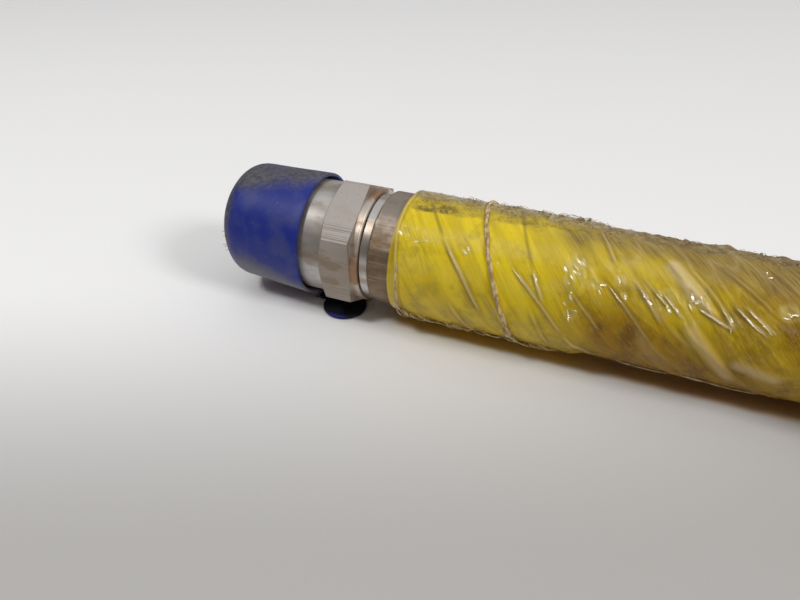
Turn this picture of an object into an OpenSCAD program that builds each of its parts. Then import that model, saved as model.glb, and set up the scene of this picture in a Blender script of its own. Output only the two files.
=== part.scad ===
// Hydraulic hose assembly, 1 inch bore: a two-braid hose with a crimped swivel
// fitting and a push-on cap at each end, in a yellow sleeve under clear film.
// Millimetres. The near fitting lies along +X, with the start of its nut's thread
// at the origin, and +Z is up from the floor that the hose lies on.

/* [Port] */
// Minor diameter of the nut's female thread (M36 x 2)
thread_minor_d = 33.8; // [31:0.1:35]
// Length of the female thread
thread_len = 13; // [8:0.5:16]
// Diameter of the relief behind the thread
relief_d = 35.4; // [35.1:0.1:36.4]
// Length of the chamfer that leads into the thread
mouth_chamfer = 1.5; // [0.5:0.1:2.5]

/* [Swivel nut] */
// Width across the flats of the hexagon
nut_flats = 41; // [40.5:0.5:44]
// Length of the hexagon
hex_len = 11.5; // [8:0.5:16]
// Length of the chamfer on the hexagon's front corners
hex_chamfer = 2; // [1:0.1:3]
// Diameter of the turned skirt behind the hexagon
skirt_d = 40.2; // [38:0.1:40.4]
// Length of the skirt
skirt_len = 2.6; // [1.5:0.1:4]
// Diameter of the turned collar in front of the hexagon
collar_d = 39.8; // [38:0.1:40]
// Length of the collar, from the mouth to the hexagon
collar_len = 20.2; // [19:0.1:30]
// Length of the bore that runs on the nipple
back_wall = 10; // [8:0.5:12]

/* [Nipple] */
// Diameter of the nose, the pipe size of the fitting
nose_d = 28; // [27:0.1:29]
// Diameter of the passage for the oil
passage_d = 19.5; // [17:0.1:20]
// Included angle of the sealing cone
cone_angle = 24; // [20:1:30]
// Wall of the cone at its tip
tip_wall = 2.4; // [2.2:0.1:2.8]
// Distance of the nose's tip behind the thread
tip_setback = 0.5; // [0.2:0.1:2]
// Diameter of the shoulder behind the nut
shoulder_d = 38; // [31:0.5:38.5]
// Length of the shoulder
shoulder_len = 3.1; // [2:0.1:8]
// Diameter of the groove that the ferrule is crimped into
groove_d = 25.2; // [24.6:0.1:25.3]
// Length of the collar behind that groove
stop_len = 2; // [1:0.1:3]
// Diameter of that collar
stop_d = 27.6; // [26:0.1:28]
// Number of barbs on the tail
barb_count = 8; // [4:1:12]
// Depth of a barb
barb_depth = 0.7; // [0.3:0.1:1]

/* [Seal and lock wire] */
// Section of the O-ring on the cone
seal_section = 2; // [1.5:0.1:2.2]
// Distance of the O-ring behind the nose's tip
seal_setback = 3; // [2.5:0.1:5]
// Section of the wire that locks the nut to the nipple
wire_section = 2; // [1.2:0.1:2.4]

/* [Ferrule] */
// Diameter of the ferrule over its ridges
ferrule_d = 40.4; // [40:0.1:42]
// Length of the ferrule
ferrule_len = 73; // [50:1:90]
// Wall of the ferrule over the hose
ferrule_wall = 2.2; // [2:0.1:2.6]
// Length of the front wall, hooked into the nipple's groove
ferrule_front = 4; // [2.5:0.1:6]
// Number of flats left by the crimping dies
crimp_flats = 8; // [6:1:10]
// Depth of a flat below the ridges
crimp_depth = 0.9; // [0.3:0.1:1]
// Length of the flared mouth over the hose
flare_len = 5; // [3:0.5:8]

/* [Hose] */
// Bore of the hose
hose_bore = 25.4; // [25.2:0.1:25.6]
// Wall of the inner rubber tube
tube_wall = 2.4; // [1.5:0.1:2.6]
// Thickness of each wire braid
braid_wall = 0.8; // [0.5:0.1:0.9]
// Thickness of the rubber between the braids
inter_wall = 0.5; // [0.3:0.1:0.6]
// Wall of the rubber cover outside the ferrules
cover_wall = 2.3; // [1.8:0.1:2.6]

/* [Wrapping] */
// Thickness of the yellow sleeve
sleeve_wall = 0.6; // [0.3:0.1:1]
// Thickness of the clear film, with its turns
film_wall = 0.7; // [0.3:0.1:1.2]
// Length of the ferrule that stands out of the wrapping
ferrule_bare = 8; // [4:0.5:20]
// Length over which the wrapping narrows behind the ferrule
wrap_step = 7.5; // [5:0.5:12]
// Section of the twisted tie round the wrapping
tie_section = 1.6; // [1:0.1:2.5]
// Distance of the tie behind the ferrule's front face
tie_at = 43; // [20:1:50]

/* [Cap] */
// Diameter of the cap at its rim
cap_d = 44.6; // [43.6:0.1:45.6]
// Length of the cap
cap_len = 32.6; // [26:0.1:36]
// Wall of the cap
cap_wall = 1.2; // [0.8:0.1:1.4]
// Length of the nut's collar that the cap covers
cap_cover = 12.5; // [9:0.5:18]
// Radius of the cap's rounded end
cap_round = 7.5; // [4:0.5:9]
// Diameter of the round pull tab
tab_d = 16; // [12:0.5:19]
// Thickness of the pull tab
tab_wall = 1.2; // [0.8:0.1:1.6]
// Length of the strap between the cap and the pull tab
strap_len = 3.6; // [1:0.1:6]
// Width of that strap
strap_w = 5; // [3:0.5:7]

/* [Hidden] */
$fn = 96;

// Clearances
swivel_gap = 0.05;   // between the nut's bore and the nipple, on the radius
seat_gap = 0.02;     // between pieces that are pressed together
grip_gap = 0.05;     // between the cap and the nut's mouth, on the radius
end_gap = 0.3;       // between the nut's back and the shoulder
tab_gap = 0.35;      // between the tab and the hexagon
tab_share = 0.4;     // of the tab's diameter, from its cut edge to its middle
nut_turn = 2;        // degrees that the nut is turned back from standing on a corner

// Sides of the swept tubes, and the share of the radius that their flats reach
SIDES = 12;
flat_share = cos(180 / SIDES);

// Places along the fitting, from the start of the nut's thread
mouth_x = -mouth_chamfer;
collar_end = mouth_x + collar_len;
hex_end = collar_end + hex_len;
nut_end = hex_end + skirt_len;
relief_end = nut_end - back_wall;
tip_x = thread_len + tip_setback;
shoulder_x = nut_end + end_gap;
ferrule_x = shoulder_x + shoulder_len;
front_end = ferrule_x + ferrule_front;
ferrule_end = ferrule_x + ferrule_len;
stop_end = front_end + stop_len;
hose_x = stop_end + end_gap;
tail_clear = 3;
tail_end = ferrule_end - tail_clear;
wrap_x = ferrule_x + ferrule_bare;
tie_x = ferrule_x + tie_at;
wire_x = nut_end - back_wall / 2;
straight_end = ferrule_end + wrap_step + seat_gap;

// Radii
collar_r = collar_d / 2;
skirt_r = skirt_d / 2;
corner_r = nut_flats / 2 / cos(30);
nose_r = nose_d / 2;
passage_r = passage_d / 2;
tip_r = passage_r + tip_wall;
cone_len = (nose_r - tip_r) / tan(cone_angle / 2);
tail_r = hose_bore / 2 * flat_share - seat_gap;
tube_r = hose_bore / 2 + tube_wall;
braid_in_r = tube_r + braid_wall;
inter_r = braid_in_r + inter_wall;
braid_out_r = inter_r + braid_wall;
cover_r = braid_out_r + cover_wall;
crimp_r = ferrule_d / 2 - ferrule_wall;
sleeve_in_r = (ferrule_d / 2 + seat_gap) / flat_share;
sleeve_out_r = sleeve_in_r + sleeve_wall;
film_out_r = sleeve_out_r + film_wall;
film_hose_r = cover_r + sleeve_wall + film_wall;
cap_r = cap_d / 2;
cap_grip_r = collar_r + grip_gap;
rim_x = mouth_x + cap_cover;
cap_x = rim_x - cap_len;
edge_break = 1;      // chamfer on the ferrule's front edge
rim_break = 0.3;     // chamfer on the cap's rim
mouth_wall = 0.4;    // wall of the ferrule's flared mouth under a flat
relief_lead = 0.2;   // length over which the bore widens behind the thread
face_inset = 0.3;    // of the hexagon's front face inside its flats
skirt_break = 0.6;   // chamfer on the back edge of the skirt
cut_over = 1;        // how far a cut reaches past the face that it opens

// The O-ring and its groove, and the barbs on the nipple's tail
seal_sunk = 0.35;    // share of the ring's section between the cone and the ring's centreline
seal_room = 0.15;    // room in the groove on each side of the ring
barb_lead = 4;       // length of plain tail before the first barb
barb_rise = 0.8;     // share of a barb's length that rises
barb_back = 0.1;     // length of the step behind a barb
barb_low = barb_depth / 6; // depth of a barb's crest below the plain tail

// The floor under the lower corner of the hexagon, and the hose lying on it
floor_z = -corner_r;
hose_z = floor_z + film_hose_r;

// The second fitting stands beside the first, this far to its side
far_y = -440;

// Centreline of the hose between the fittings: out past the ferrule, down to the
// floor and round in half a coil, then back to the second fitting
ROUTE = [
    [200, 0, hose_z / 3],
    [310, -30, hose_z],
    [390, -110, hose_z],
    [420, -220, hose_z],
    [390, -330, hose_z],
    [310, -410, hose_z],
    [200, far_y, hose_z / 3]
];

// ---- Helpers ----

// A profile of [x, radius] points turned about the X axis
module turned(points) {
    rotate([0, 90, 0])
        rotate_extrude()
            polygon([for (p = points) [p[1], p[0]]]);
}

// A ring of round section about the X axis
module ring(x, radius, section) {
    translate([x, 0, 0])
        rotate([0, 90, 0])
            rotate_extrude()
                translate([radius, 0])
                    circle(d = section, $fn = 48);
}

function unit(v) = v / norm(v);

// Direction of a path at one of its points
function heading(path, i) =
    unit(path[min(i + 1, len(path) - 1)] - path[max(i - 1, 0)]);

// One ring of a tube: points round a centre, square to a direction
function hoop(centre, along, radius) =
    let (side = unit(cross([0, 0, 1], along)))
    let (up = cross(along, side))
    [for (k = [0 : SIDES - 1])
        centre + radius * (cos(360 / SIDES * k) * side + sin(360 / SIDES * k) * up)];

function flatten(lists) = [for (l = lists) for (item = l) item];

// A tube swept along the stations [centre, outer radius, inner radius]
module swept(stations) {
    path = [for (s = stations) s[0]];
    count = len(stations);
    outer = flatten([for (i = [0 : count - 1]) hoop(path[i], heading(path, i), stations[i][1])]);
    inner = flatten([for (i = [0 : count - 1]) hoop(path[i], heading(path, i), stations[i][2])]);
    shift = count * SIDES;
    last = (count - 1) * SIDES;
    walls = [for (i = [0 : count - 2]) for (k = [0 : SIDES - 1])
        let (a = i * SIDES + k, b = i * SIDES + (k + 1) % SIDES)
        each [
            [a, a + SIDES, b], [b, a + SIDES, b + SIDES],
            [a + shift, b + shift, a + SIDES + shift],
            [b + shift, b + SIDES + shift, a + SIDES + shift]
        ]];
    ends = [for (k = [0 : SIDES - 1])
        let (n = (k + 1) % SIDES)
        each [
            [k, n, k + shift], [n, n + shift, k + shift],
            [last + k, last + k + shift, last + n],
            [last + n, last + k + shift, last + n + shift]
        ]];
    polyhedron(concat(outer, inner), concat(walls, ends));
}

// Stations of a layer: those of the near end, the free route with its own radii,
// and the near end's stations again at the far end
function along_hose(near, free_out, free_in) = concat(
    [for (s = near) [[s[0], 0, 0], s[1], s[2]]],
    [for (p = ROUTE) [p, free_out, free_in]],
    [for (i = [len(near) - 1 : -1 : 0]) [[near[i][0], far_y, 0], near[i][1], near[i][2]]]
);

module hose_layer(outer_r, inner_r) {
    swept(along_hose([[hose_x, outer_r, inner_r], [straight_end, outer_r, inner_r]], outer_r, inner_r));
}

// ---- Pieces of a fitting, along the X axis ----

module cap_shape() {
    end_r = cap_r - cap_wall;
    hollow_round = cap_round - cap_wall;
    hollow_r = end_r - cap_wall;
    hollow_x = cap_x + cap_wall;
    arc = [15 : 15 : 75];
    tab_edge = (2 * tab_gap + tab_wall) / tan(30);
    tab_x = rim_x + strap_len + tab_d / 2;
    tab_y = -tab_edge - tab_share * tab_d;
    tab_z = floor_z + tab_gap;
    root_len = 2 * tab_wall;
    difference() {
        union() {
            turned([
                [cap_x, 0],
                [cap_x, end_r - cap_round],
                for (a = arc) [cap_x + cap_round * (1 - cos(a)), end_r - cap_round * (1 - sin(a))],
                [cap_x + cap_round, end_r],
                [rim_x - rim_break, cap_r],
                [rim_x, cap_r - rim_break],
                [rim_x, 0]
            ]);
            // The pull tab lies by the floor, under the flat of the hexagon
            translate([rim_x - root_len, -tab_edge - strap_w, tab_z])
                cube([tab_x - rim_x + root_len, strap_w, tab_wall]);
            translate([rim_x - root_len, -tab_edge - strap_w, tab_z])
                cube([root_len, strap_w, -tab_z - hollow_r]);
            intersection() {
                translate([tab_x, tab_y, tab_z])
                    cylinder(h = tab_wall, d = tab_d);
                translate([rim_x, -tab_edge - tab_d, tab_z - cut_over])
                    cube([2 * tab_d, tab_d, tab_wall + 2 * cut_over]);
            }
        }
        // The hollow: wide at the rim, gripping at the nut's mouth, narrower behind
        turned([
            [hollow_x, 0],
            [hollow_x, hollow_r - hollow_round],
            for (a = arc)
                [hollow_x + hollow_round * (1 - cos(a)), hollow_r - hollow_round * (1 - sin(a))],
            [hollow_x + hollow_round, hollow_r],
            [mouth_x - end_gap, cap_grip_r],
            [mouth_x + mouth_chamfer, cap_grip_r],
            [rim_x + cut_over, end_r],
            [rim_x + cut_over, 0]
        ]);
    }
}

module nut_shape() {
    break_len = mouth_chamfer / 2;
    rotate([nut_turn, 0, 0])
    difference() {
        union() {
            turned([
                [mouth_x, 0],
                [mouth_x, collar_r - break_len],
                [mouth_x + break_len, collar_r],
                [collar_end, collar_r],
                [collar_end, 0]
            ]);
            intersection() {
                translate([collar_end, 0, 0])
                    rotate([0, 90, 0])
                        cylinder(h = hex_len, r = corner_r, $fn = 6);
                turned([
                    [collar_end, 0],
                    [collar_end, nut_flats / 2 - face_inset],
                    [collar_end + hex_chamfer, corner_r],
                    [collar_end + hex_chamfer, corner_r + cut_over],
                    [hex_end + cut_over, corner_r + cut_over],
                    [hex_end + cut_over, 0]
                ]);
            }
            turned([
                [hex_end - cut_over, 0],
                [hex_end - cut_over, skirt_r],
                [nut_end - skirt_break, skirt_r],
                [nut_end, skirt_r - skirt_break],
                [nut_end, 0]
            ]);
        }
        turned([
            [mouth_x - cut_over, 0],
            [mouth_x - cut_over, thread_minor_d / 2 + mouth_chamfer + cut_over],
            [0, thread_minor_d / 2],
            [thread_len, thread_minor_d / 2],
            [thread_len + relief_lead, relief_d / 2],
            [relief_end, relief_d / 2],
            [relief_end, nose_r + swivel_gap],
            [nut_end + cut_over, nose_r + swivel_gap],
            [nut_end + cut_over, 0]
        ]);
        ring(wire_x, nose_r, wire_section + 2 * seat_gap);
    }
}

module lock_wire_shape() {
    ring(wire_x, nose_r, wire_section);
}

module nipple_shape() {
    barb_x = hose_x + barb_lead;
    barb_step = (tail_end - barb_x) / barb_count;
    difference() {
        turned([
            [tip_x, 0],
            [tip_x, tip_r],
            [tip_x + cone_len, nose_r],
            [shoulder_x, nose_r],
            [shoulder_x, shoulder_d / 2 - edge_break / 2],
            [shoulder_x + edge_break / 2, shoulder_d / 2],
            [ferrule_x, shoulder_d / 2],
            [ferrule_x, groove_d / 2],
            [front_end, groove_d / 2],
            [front_end, stop_d / 2],
            [stop_end, stop_d / 2],
            [stop_end, tail_r],
            [barb_x, tail_r],
            for (i = [0 : barb_count - 1])
                each [
                    [barb_x + i * barb_step, tail_r - barb_depth],
                    [barb_x + (i + barb_rise) * barb_step, tail_r - barb_low],
                    [barb_x + (i + 1) * barb_step - barb_back, tail_r - barb_low]
                ],
            [tail_end, tail_r - barb_depth],
            [tail_end, 0]
        ]);
        translate([tip_x - cut_over, 0, 0])
            rotate([0, 90, 0])
                cylinder(h = tail_end - tip_x + 2 * cut_over, r = passage_r);
        ring(wire_x, nose_r, wire_section + 2 * swivel_gap);
        seal_groove();
    }
}

// Radius of the O-ring's centreline: it stands a little proud of the cone
seal_r = tip_r + seal_setback * tan(cone_angle / 2) - seal_sunk * seal_section;

module seal_groove() {
    floor_r = seal_r - seal_section / 2 - seat_gap;
    half = seal_section / 2 + seal_room;
    seal_x = tip_x + seal_setback;
    turned([
        [seal_x - half, floor_r],
        [seal_x - half, nose_r + cut_over],
        [seal_x + half, nose_r + cut_over],
        [seal_x + half, floor_r]
    ]);
}

module nose_seal_shape() {
    ring(tip_x + seal_setback, seal_r, seal_section);
}

module ferrule_shape() {
    flat_r = ferrule_d / 2 - crimp_depth;
    difference() {
        intersection() {
            turned([
                [ferrule_x, 0],
                [ferrule_x, ferrule_d / 2 - edge_break],
                [ferrule_x + edge_break, ferrule_d / 2],
                [ferrule_end - edge_break / 2, ferrule_d / 2],
                [ferrule_end, ferrule_d / 2 - edge_break / 2],
                [ferrule_end, 0]
            ]);
            translate([ferrule_x, 0, 0])
                rotate([0, 90, 0])
                    cylinder(h = ferrule_len, r = flat_r / cos(180 / crimp_flats), $fn = crimp_flats);
        }
        turned([
            [ferrule_x - cut_over, 0],
            [ferrule_x - cut_over, groove_d / 2 + seat_gap],
            [front_end, groove_d / 2 + seat_gap],
            [front_end, crimp_r],
            [ferrule_end - flare_len, crimp_r],
            [ferrule_end, flat_r - mouth_wall],
            [ferrule_end + cut_over, flat_r - mouth_wall],
            [ferrule_end + cut_over, 0]
        ]);
    }
}

module tie_shape() {
    ring(tie_x, film_out_r + tie_section / 2, tie_section);
}

module at_far_end() {
    translate([0, far_y, 0])
        children();
}

// ---- Nodes ----

module cap_a() { color("#2C3A8C") cap_shape(); }
module nut_a() { color("#A8A49C") nut_shape(); }
module lock_wire_a() { color("#8C8C90") lock_wire_shape(); }
module nipple_a() { color("#B8B2A6") nipple_shape(); }
module nose_seal_a() { color("#1C1C1E") nose_seal_shape(); }
module ferrule_a() { color("#8E8070") ferrule_shape(); }
module tie_a() { color("#6E6440") tie_shape(); }

module cap_b() { color("#2C3A8C") at_far_end() cap_shape(); }
module nut_b() { color("#A8A49C") at_far_end() nut_shape(); }
module lock_wire_b() { color("#8C8C90") at_far_end() lock_wire_shape(); }
module nipple_b() { color("#B8B2A6") at_far_end() nipple_shape(); }
module nose_seal_b() { color("#1C1C1E") at_far_end() nose_seal_shape(); }
module ferrule_b() { color("#8E8070") at_far_end() ferrule_shape(); }
module tie_b() { color("#6E6440") at_far_end() tie_shape(); }

module inner_tube() { color("#202022") hose_layer(tube_r, hose_bore / 2); }
module inner_braid() { color("#9A8A5A") hose_layer(braid_in_r, tube_r); }
module interlayer() { color("#2A2A2C") hose_layer(inter_r, braid_in_r); }
module outer_braid() { color("#9A8A5A") hose_layer(braid_out_r, inter_r); }

// The cover is squeezed inside the ferrules and has its full wall outside them
module cover() {
    squeezed_r = crimp_r - seat_gap;
    color("#1A1A1C")
        swept(along_hose([
            [hose_x, squeezed_r, braid_out_r],
            [ferrule_end - flare_len, squeezed_r, braid_out_r],
            [straight_end, cover_r, braid_out_r]
        ], cover_r, braid_out_r));
}

module yellow_sleeve() {
    color("#D8C030")
        swept(along_hose([
            [wrap_x, sleeve_out_r, sleeve_in_r],
            [ferrule_end, sleeve_out_r, sleeve_in_r],
            [straight_end, cover_r + sleeve_wall, cover_r]
        ], cover_r + sleeve_wall, cover_r));
}

module clear_film() {
    color("#B8AE70")
        swept(along_hose([
            [wrap_x, film_out_r, sleeve_out_r],
            [ferrule_end, film_out_r, sleeve_out_r],
            [straight_end, film_hose_r, cover_r + sleeve_wall]
        ], film_hose_r, cover_r + sleeve_wall));
}

cap_a();
nut_a();
lock_wire_a();
nipple_a();
nose_seal_a();
ferrule_a();
inner_tube();
inner_braid();
interlayer();
outer_braid();
cover();
yellow_sleeve();
clear_film();
tie_a();
tie_b();
cap_b();
nut_b();
lock_wire_b();
nipple_b();
nose_seal_b();
ferrule_b();
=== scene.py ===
# %% [markdown]
# # A hydraulic hose with a capped swivel fitting
#
# A wire-braided hose ends in a crimped steel fitting: a ferrule, the neck of the
# nipple, a swivel nut and a blue plastic cap. A yellow sleeve and a winding of
# clear film cover the hose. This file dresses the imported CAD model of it.
#
# Everything is in metres in the model's own frame. The near fitting lies along +X
# with the start of its thread at the origin, and +Z is up. Sizes below are written
# in millimetres, because drawings of fittings are, and MM turns them into metres.

# %% Load the frame
import functools
import itertools
import math
import random

import bmesh
import bpy
import numpy as np
from mathutils import Matrix, Vector


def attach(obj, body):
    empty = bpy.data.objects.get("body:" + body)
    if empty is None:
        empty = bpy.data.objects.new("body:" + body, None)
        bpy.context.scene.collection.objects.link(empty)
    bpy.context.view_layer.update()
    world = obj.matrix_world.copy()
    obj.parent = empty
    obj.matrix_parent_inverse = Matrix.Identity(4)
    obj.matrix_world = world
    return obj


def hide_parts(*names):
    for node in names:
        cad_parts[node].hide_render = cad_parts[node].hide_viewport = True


MM = 0.001
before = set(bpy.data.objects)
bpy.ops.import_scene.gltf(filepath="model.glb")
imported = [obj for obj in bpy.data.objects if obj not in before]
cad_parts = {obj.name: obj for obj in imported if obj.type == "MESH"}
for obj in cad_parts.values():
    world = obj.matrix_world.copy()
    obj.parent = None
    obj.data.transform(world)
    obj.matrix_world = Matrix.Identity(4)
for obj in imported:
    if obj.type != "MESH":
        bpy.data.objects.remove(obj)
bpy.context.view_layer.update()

# %% [markdown]
# ## The camera
#
# A hose lying on a table is seen a little from above. The camera stands where the
# sight lines to the nut's corners and to the round edges meet. Its turn is kept as
# two angles: the tip from straight down, and the swing about the vertical.

# %% Camera
camera_data = bpy.data.cameras.new("camera")
camera_data.lens = 30.6
camera_data.sensor_width = 36
camera_data.clip_start = 0.01
camera = bpy.data.objects.new("camera", camera_data)
camera.location = (0.1174, -0.1918, 0.1258)
camera.rotation_euler = (math.radians(54.4), 0, math.radians(21.8))
bpy.context.scene.collection.objects.link(camera)
bpy.context.scene.camera = camera
bpy.context.scene.view_settings.view_transform = "Standard"
print("camera at", tuple(camera.location))

# %% [markdown]
# ## The hose's line
#
# A stiff hose keeps the curve that it was laid in. Its line is given by a few
# points: straight out of the ferrule, down to the table and round in half a coil.
# A line that only joins the points has kinks, so each stretch between two points
# is rounded. The Catmull-Rom rule passes through all the points and bulges out
# between them, and the B-spline rule stays inside them. A mix of the two lies
# closest to the line of straight stretches.

# %% Route
FAR_Y = -440  # the second fitting lies this far to the side of the first
FLOOR_Z = -23.67  # table under the lowest corner of the nut
HOSE_Z = -2.87  # the hose's middle where it lies on the table
FERRULE_END = 109.2
ROUTE = [
    (FERRULE_END, 0, 0),
    (150, 0, 0),
    (200, 0, HOSE_Z / 3),
    (310, -30, HOSE_Z),
    (390, -110, HOSE_Z),
    (420, FAR_Y / 2, HOSE_Z),
    (390, FAR_Y + 110, HOSE_Z),
    (310, FAR_Y + 30, HOSE_Z),
    (200, FAR_Y, HOSE_Z / 3),
    (150, FAR_Y, 0),
    (FERRULE_END, FAR_Y, 0),
]


def rounded(points, per_stretch=24, through=0.6):
    """Points on a smooth curve by the given ones, at even distances, in mm."""
    p = np.array(points, float)
    p = np.vstack([2 * p[0] - p[1], p, 2 * p[-1] - p[-2]])
    curve = []
    for a, b, c, d in zip(p, p[1:], p[2:], p[3:]):
        for t in np.linspace(0, 1, per_stretch, endpoint=False):
            passing = (
                2 * b
                + (c - a) * t
                + (2 * a - 5 * b + 4 * c - d) * t**2
                + (3 * b - a - 3 * c + d) * t**3
            ) / 2
            inside = (
                (1 - t) ** 3 * a
                + (3 * t**3 - 6 * t**2 + 4) * b
                + (3 * t + 3 * t**2 - 3 * t**3 + 1) * c
                + t**3 * d
            ) / 6
            curve.append(through * passing + (1 - through) * inside)
    return even(np.array([*curve, p[-2]]), 4)


def even(line, step):
    """The same line with points about one step apart."""
    run = np.concatenate([[0], np.cumsum(np.linalg.norm(np.diff(line, axis=0), axis=1))])
    stops = np.linspace(0, run[-1], max(2, round(run[-1] / step) + 1))
    return np.column_stack([np.interp(stops, run, line[:, k]) for k in range(3)])


hose_line = rounded(ROUTE)

# %% [markdown]
# ## Small helpers
#
# Most pieces are made in a bmesh, Blender's mesh for editing, and each ends the
# same way: it becomes an object at the origin, gets its material, rides on a body
# of the model and stands for a CAD node.

# %% Put a piece on the model
def put(name, mesh, material, body, replaced=()):
    """Makes an object of a mesh, dresses it and hangs it on a body of the model."""
    piece = bpy.data.objects.new(name, mesh)
    bpy.context.scene.collection.objects.link(piece)
    mesh.materials.clear()
    mesh.materials.append(material)
    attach(piece, body)
    if replaced:
        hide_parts(*replaced)
    print(f"{name}: {len(mesh.polygons)} faces")
    return piece


# %% Shape a bmesh and make it a mesh
def to_mesh(bm, name, sharp_angle=40):
    """Turns a bmesh into a mesh, smooth but for the edges sharper than an angle."""
    mesh = bpy.data.meshes.new(name)
    bm.to_mesh(mesh)
    bm.free()
    mesh.shade_smooth()
    mesh.set_sharp_from_angle(angle=math.radians(sharp_angle))
    return mesh


def tidy_normals(bm, within=0.001):
    """Merges doubled points, at most so many mm apart, then turns every face outwards."""
    bmesh.ops.remove_doubles(bm, verts=bm.verts, dist=within * MM)
    bmesh.ops.recalc_face_normals(bm, faces=bm.faces)


def turned(profile, steps, closed=True):
    """A bmesh of a (length, radius) profile in mm, spun about the X axis."""
    bm = bmesh.new()
    points = [bm.verts.new((x * MM, 0, r * MM)) for x, r in profile]
    pairs = list(zip(points, points[1:] + points[:1]))
    edges = [bm.edges.new(pair) for pair in (pairs if closed else pairs[:-1])]
    bmesh.ops.spin(
        bm,
        geom=points + edges,
        cent=(0, 0, 0),
        axis=(1, 0, 0),
        angle=math.tau,
        steps=steps,
        use_merge=True,
    )
    tidy_normals(bm)
    return bm


def break_edges(bm, width, angle=25):
    """Rounds the edges where two faces meet at more than an angle."""
    sharp = [e for e in bm.edges if e.is_manifold and e.calc_face_angle(0) > math.radians(angle)]
    bmesh.ops.bevel(
        bm,
        geom=sharp,
        offset=width * MM,
        affect="EDGES",
        segments=2,
        profile=0.5,
        material=-1,
        clamp_overlap=True,
    )


def weigh_normals(piece):
    """Lets the large faces set the shading, so that flats look flat beside a bevel."""
    weighted = piece.modifiers.new("Weighted normals", "WEIGHTED_NORMAL")
    weighted.keep_sharp = True


# %% Tubes along lines
def tube_along(name, lines, radius, sides):
    """A mesh of round tubes along lines of points in mm."""
    curve = bpy.data.curves.new(name, "CURVE")
    curve.dimensions = "3D"
    curve.bevel_depth = radius * MM
    curve.bevel_resolution = sides
    curve.use_fill_caps = True
    for line in lines:
        spline = curve.splines.new("POLY")
        spline.points.add(len(line) - 1)
        for point, place in zip(spline.points, line):
            point.co = (*(c * MM for c in place), 1)
    holder = bpy.data.objects.new(name, curve)
    bpy.context.scene.collection.objects.link(holder)
    shaped = holder.evaluated_get(bpy.context.evaluated_depsgraph_get())
    mesh = bpy.data.meshes.new_from_object(shaped)
    bpy.data.objects.remove(holder)
    mesh.name = name
    mesh.shade_smooth()
    return mesh


print("helpers for pieces ready")

# %% [markdown]
# ## Helpers for materials
#
# A material is a tree of nodes that ends in a shader. One function sets up a node,
# and one adds a node and hands back what comes out of it, so that a material reads
# as a list of what it is made of. Three settings are wanted nearly every time and
# are the usual ones here: a Map Range that eases in and out, a Math that
# multiplies, and a Mix of colours. A colour is written as the sRGB hex value that a
# colour picker shows, and the shaders want it linear.
#
# Patterns are noise that reads the place on the object in metres. A noise's scale is
# how many patches it has to the metre: 1000 divided by the size of a patch in
# millimetres. The comments say which real sizes the scales were worked out from. A
# Mapping node before the noise gives each direction a scale of its own.

# %% Helpers for materials
USUAL = {
    "MapRange": {"interpolation_type": "SMOOTHSTEP"},
    "Math": {"operation": "MULTIPLY"},
    "Mix": {"data_type": "RGBA"},
}


def srgb(code):
    """A hex colour as linear red, green, blue and alpha."""
    parts = [int(code[i : i + 2], 16) / 255 for i in (1, 3, 5)]
    return (*(c / 12.92 if c <= 0.04045 else ((c + 0.055) / 1.055) ** 2.4 for c in parts), 1)


def wire(node, *inputs, **named):
    """Sets up a node. Its inputs are values, hex colours or what comes out of others.

    They are given in the order of the sockets that the node shows, or by name, with
    a capital. A name in small letters is one of the node's settings.
    """
    for name in [name for name in named if name[0].islower()]:
        setattr(node, name, named.pop(name))
    pairs = list(zip((socket for socket in node.inputs if socket.enabled), inputs))
    pairs += [(node.inputs[name.replace("_", " ")], value) for name, value in named.items()]
    for socket, value in pairs:
        if isinstance(value, bpy.types.NodeSocket):
            node.id_data.links.new(value, socket)
        else:
            socket.default_value = srgb(value) if isinstance(value, str) else value


def add_node(tree, kind, *inputs, output=None, **named):
    """Adds a node, sets it up and returns its output of that name, or its first."""
    node = tree.nodes.new("ShaderNode" + kind)
    wire(node, *inputs, **(USUAL.get(kind, {}) | named))
    return node.outputs[output] if output else next(s for s in node.outputs if s.enabled)


def new_material(name, **constants):
    """A material, its Principled shader, and the function that adds nodes to it."""
    material = bpy.data.materials.new(name)
    material.use_nodes = True
    shader = material.node_tree.nodes["Principled BSDF"]
    wire(shader, **constants)
    return material, shader, functools.partial(add_node, material.node_tree)


# %% Helpers for whole finishes
def coats(add, colour, *layers):
    """Lays colours over a first one, from the bottom up. A layer is a share and a colour."""
    for share, over in layers:
        colour = add("Mix", share, colour, over)
    return colour


def mottled(
    name, first, second, per_metre, detail=3.0, edges=None, depth=0, strength=0.5, **constants
):
    """A simple finish: two colours in patches, so many to the metre, and bumps with them.

    Edges say between which heights of the noise, near 0.5, one colour turns into the
    other, and depth is the bumps' height in mm.
    """
    material, shader, add = new_material(name, **constants)
    patches = add("TexNoise", add("TexCoord", output="Object"), per_metre, detail)
    share = add("MapRange", patches, *edges) if edges else patches
    wire(shader, Base_Color=add("Mix", share, first, second))
    if depth:
        bump = add("Bump", Strength=strength, Distance=depth * MM, Height=patches)
        wire(shader, Normal=bump)
    print("finish", name)
    return material


print("helpers for materials ready")

# %% [markdown]
# ## Machined steel
#
# The nut is turned and milled from bar and zinc plated, then handled: the plating
# is grey and a little matt, with brown smudges of dried oil, most of them on the
# skirt and the lower flats. A lathe leaves fine rings round the collar, so its
# bumps vary only along X. Real rings are 0.1 mm apart, too fine to show, and are
# drawn 0.4 mm apart. The flats have no rings: a cutter leaves them matt with small
# stains, and scored beside the corners. The nut's sizes come first, because its
# finish changes where its parts meet.

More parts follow.
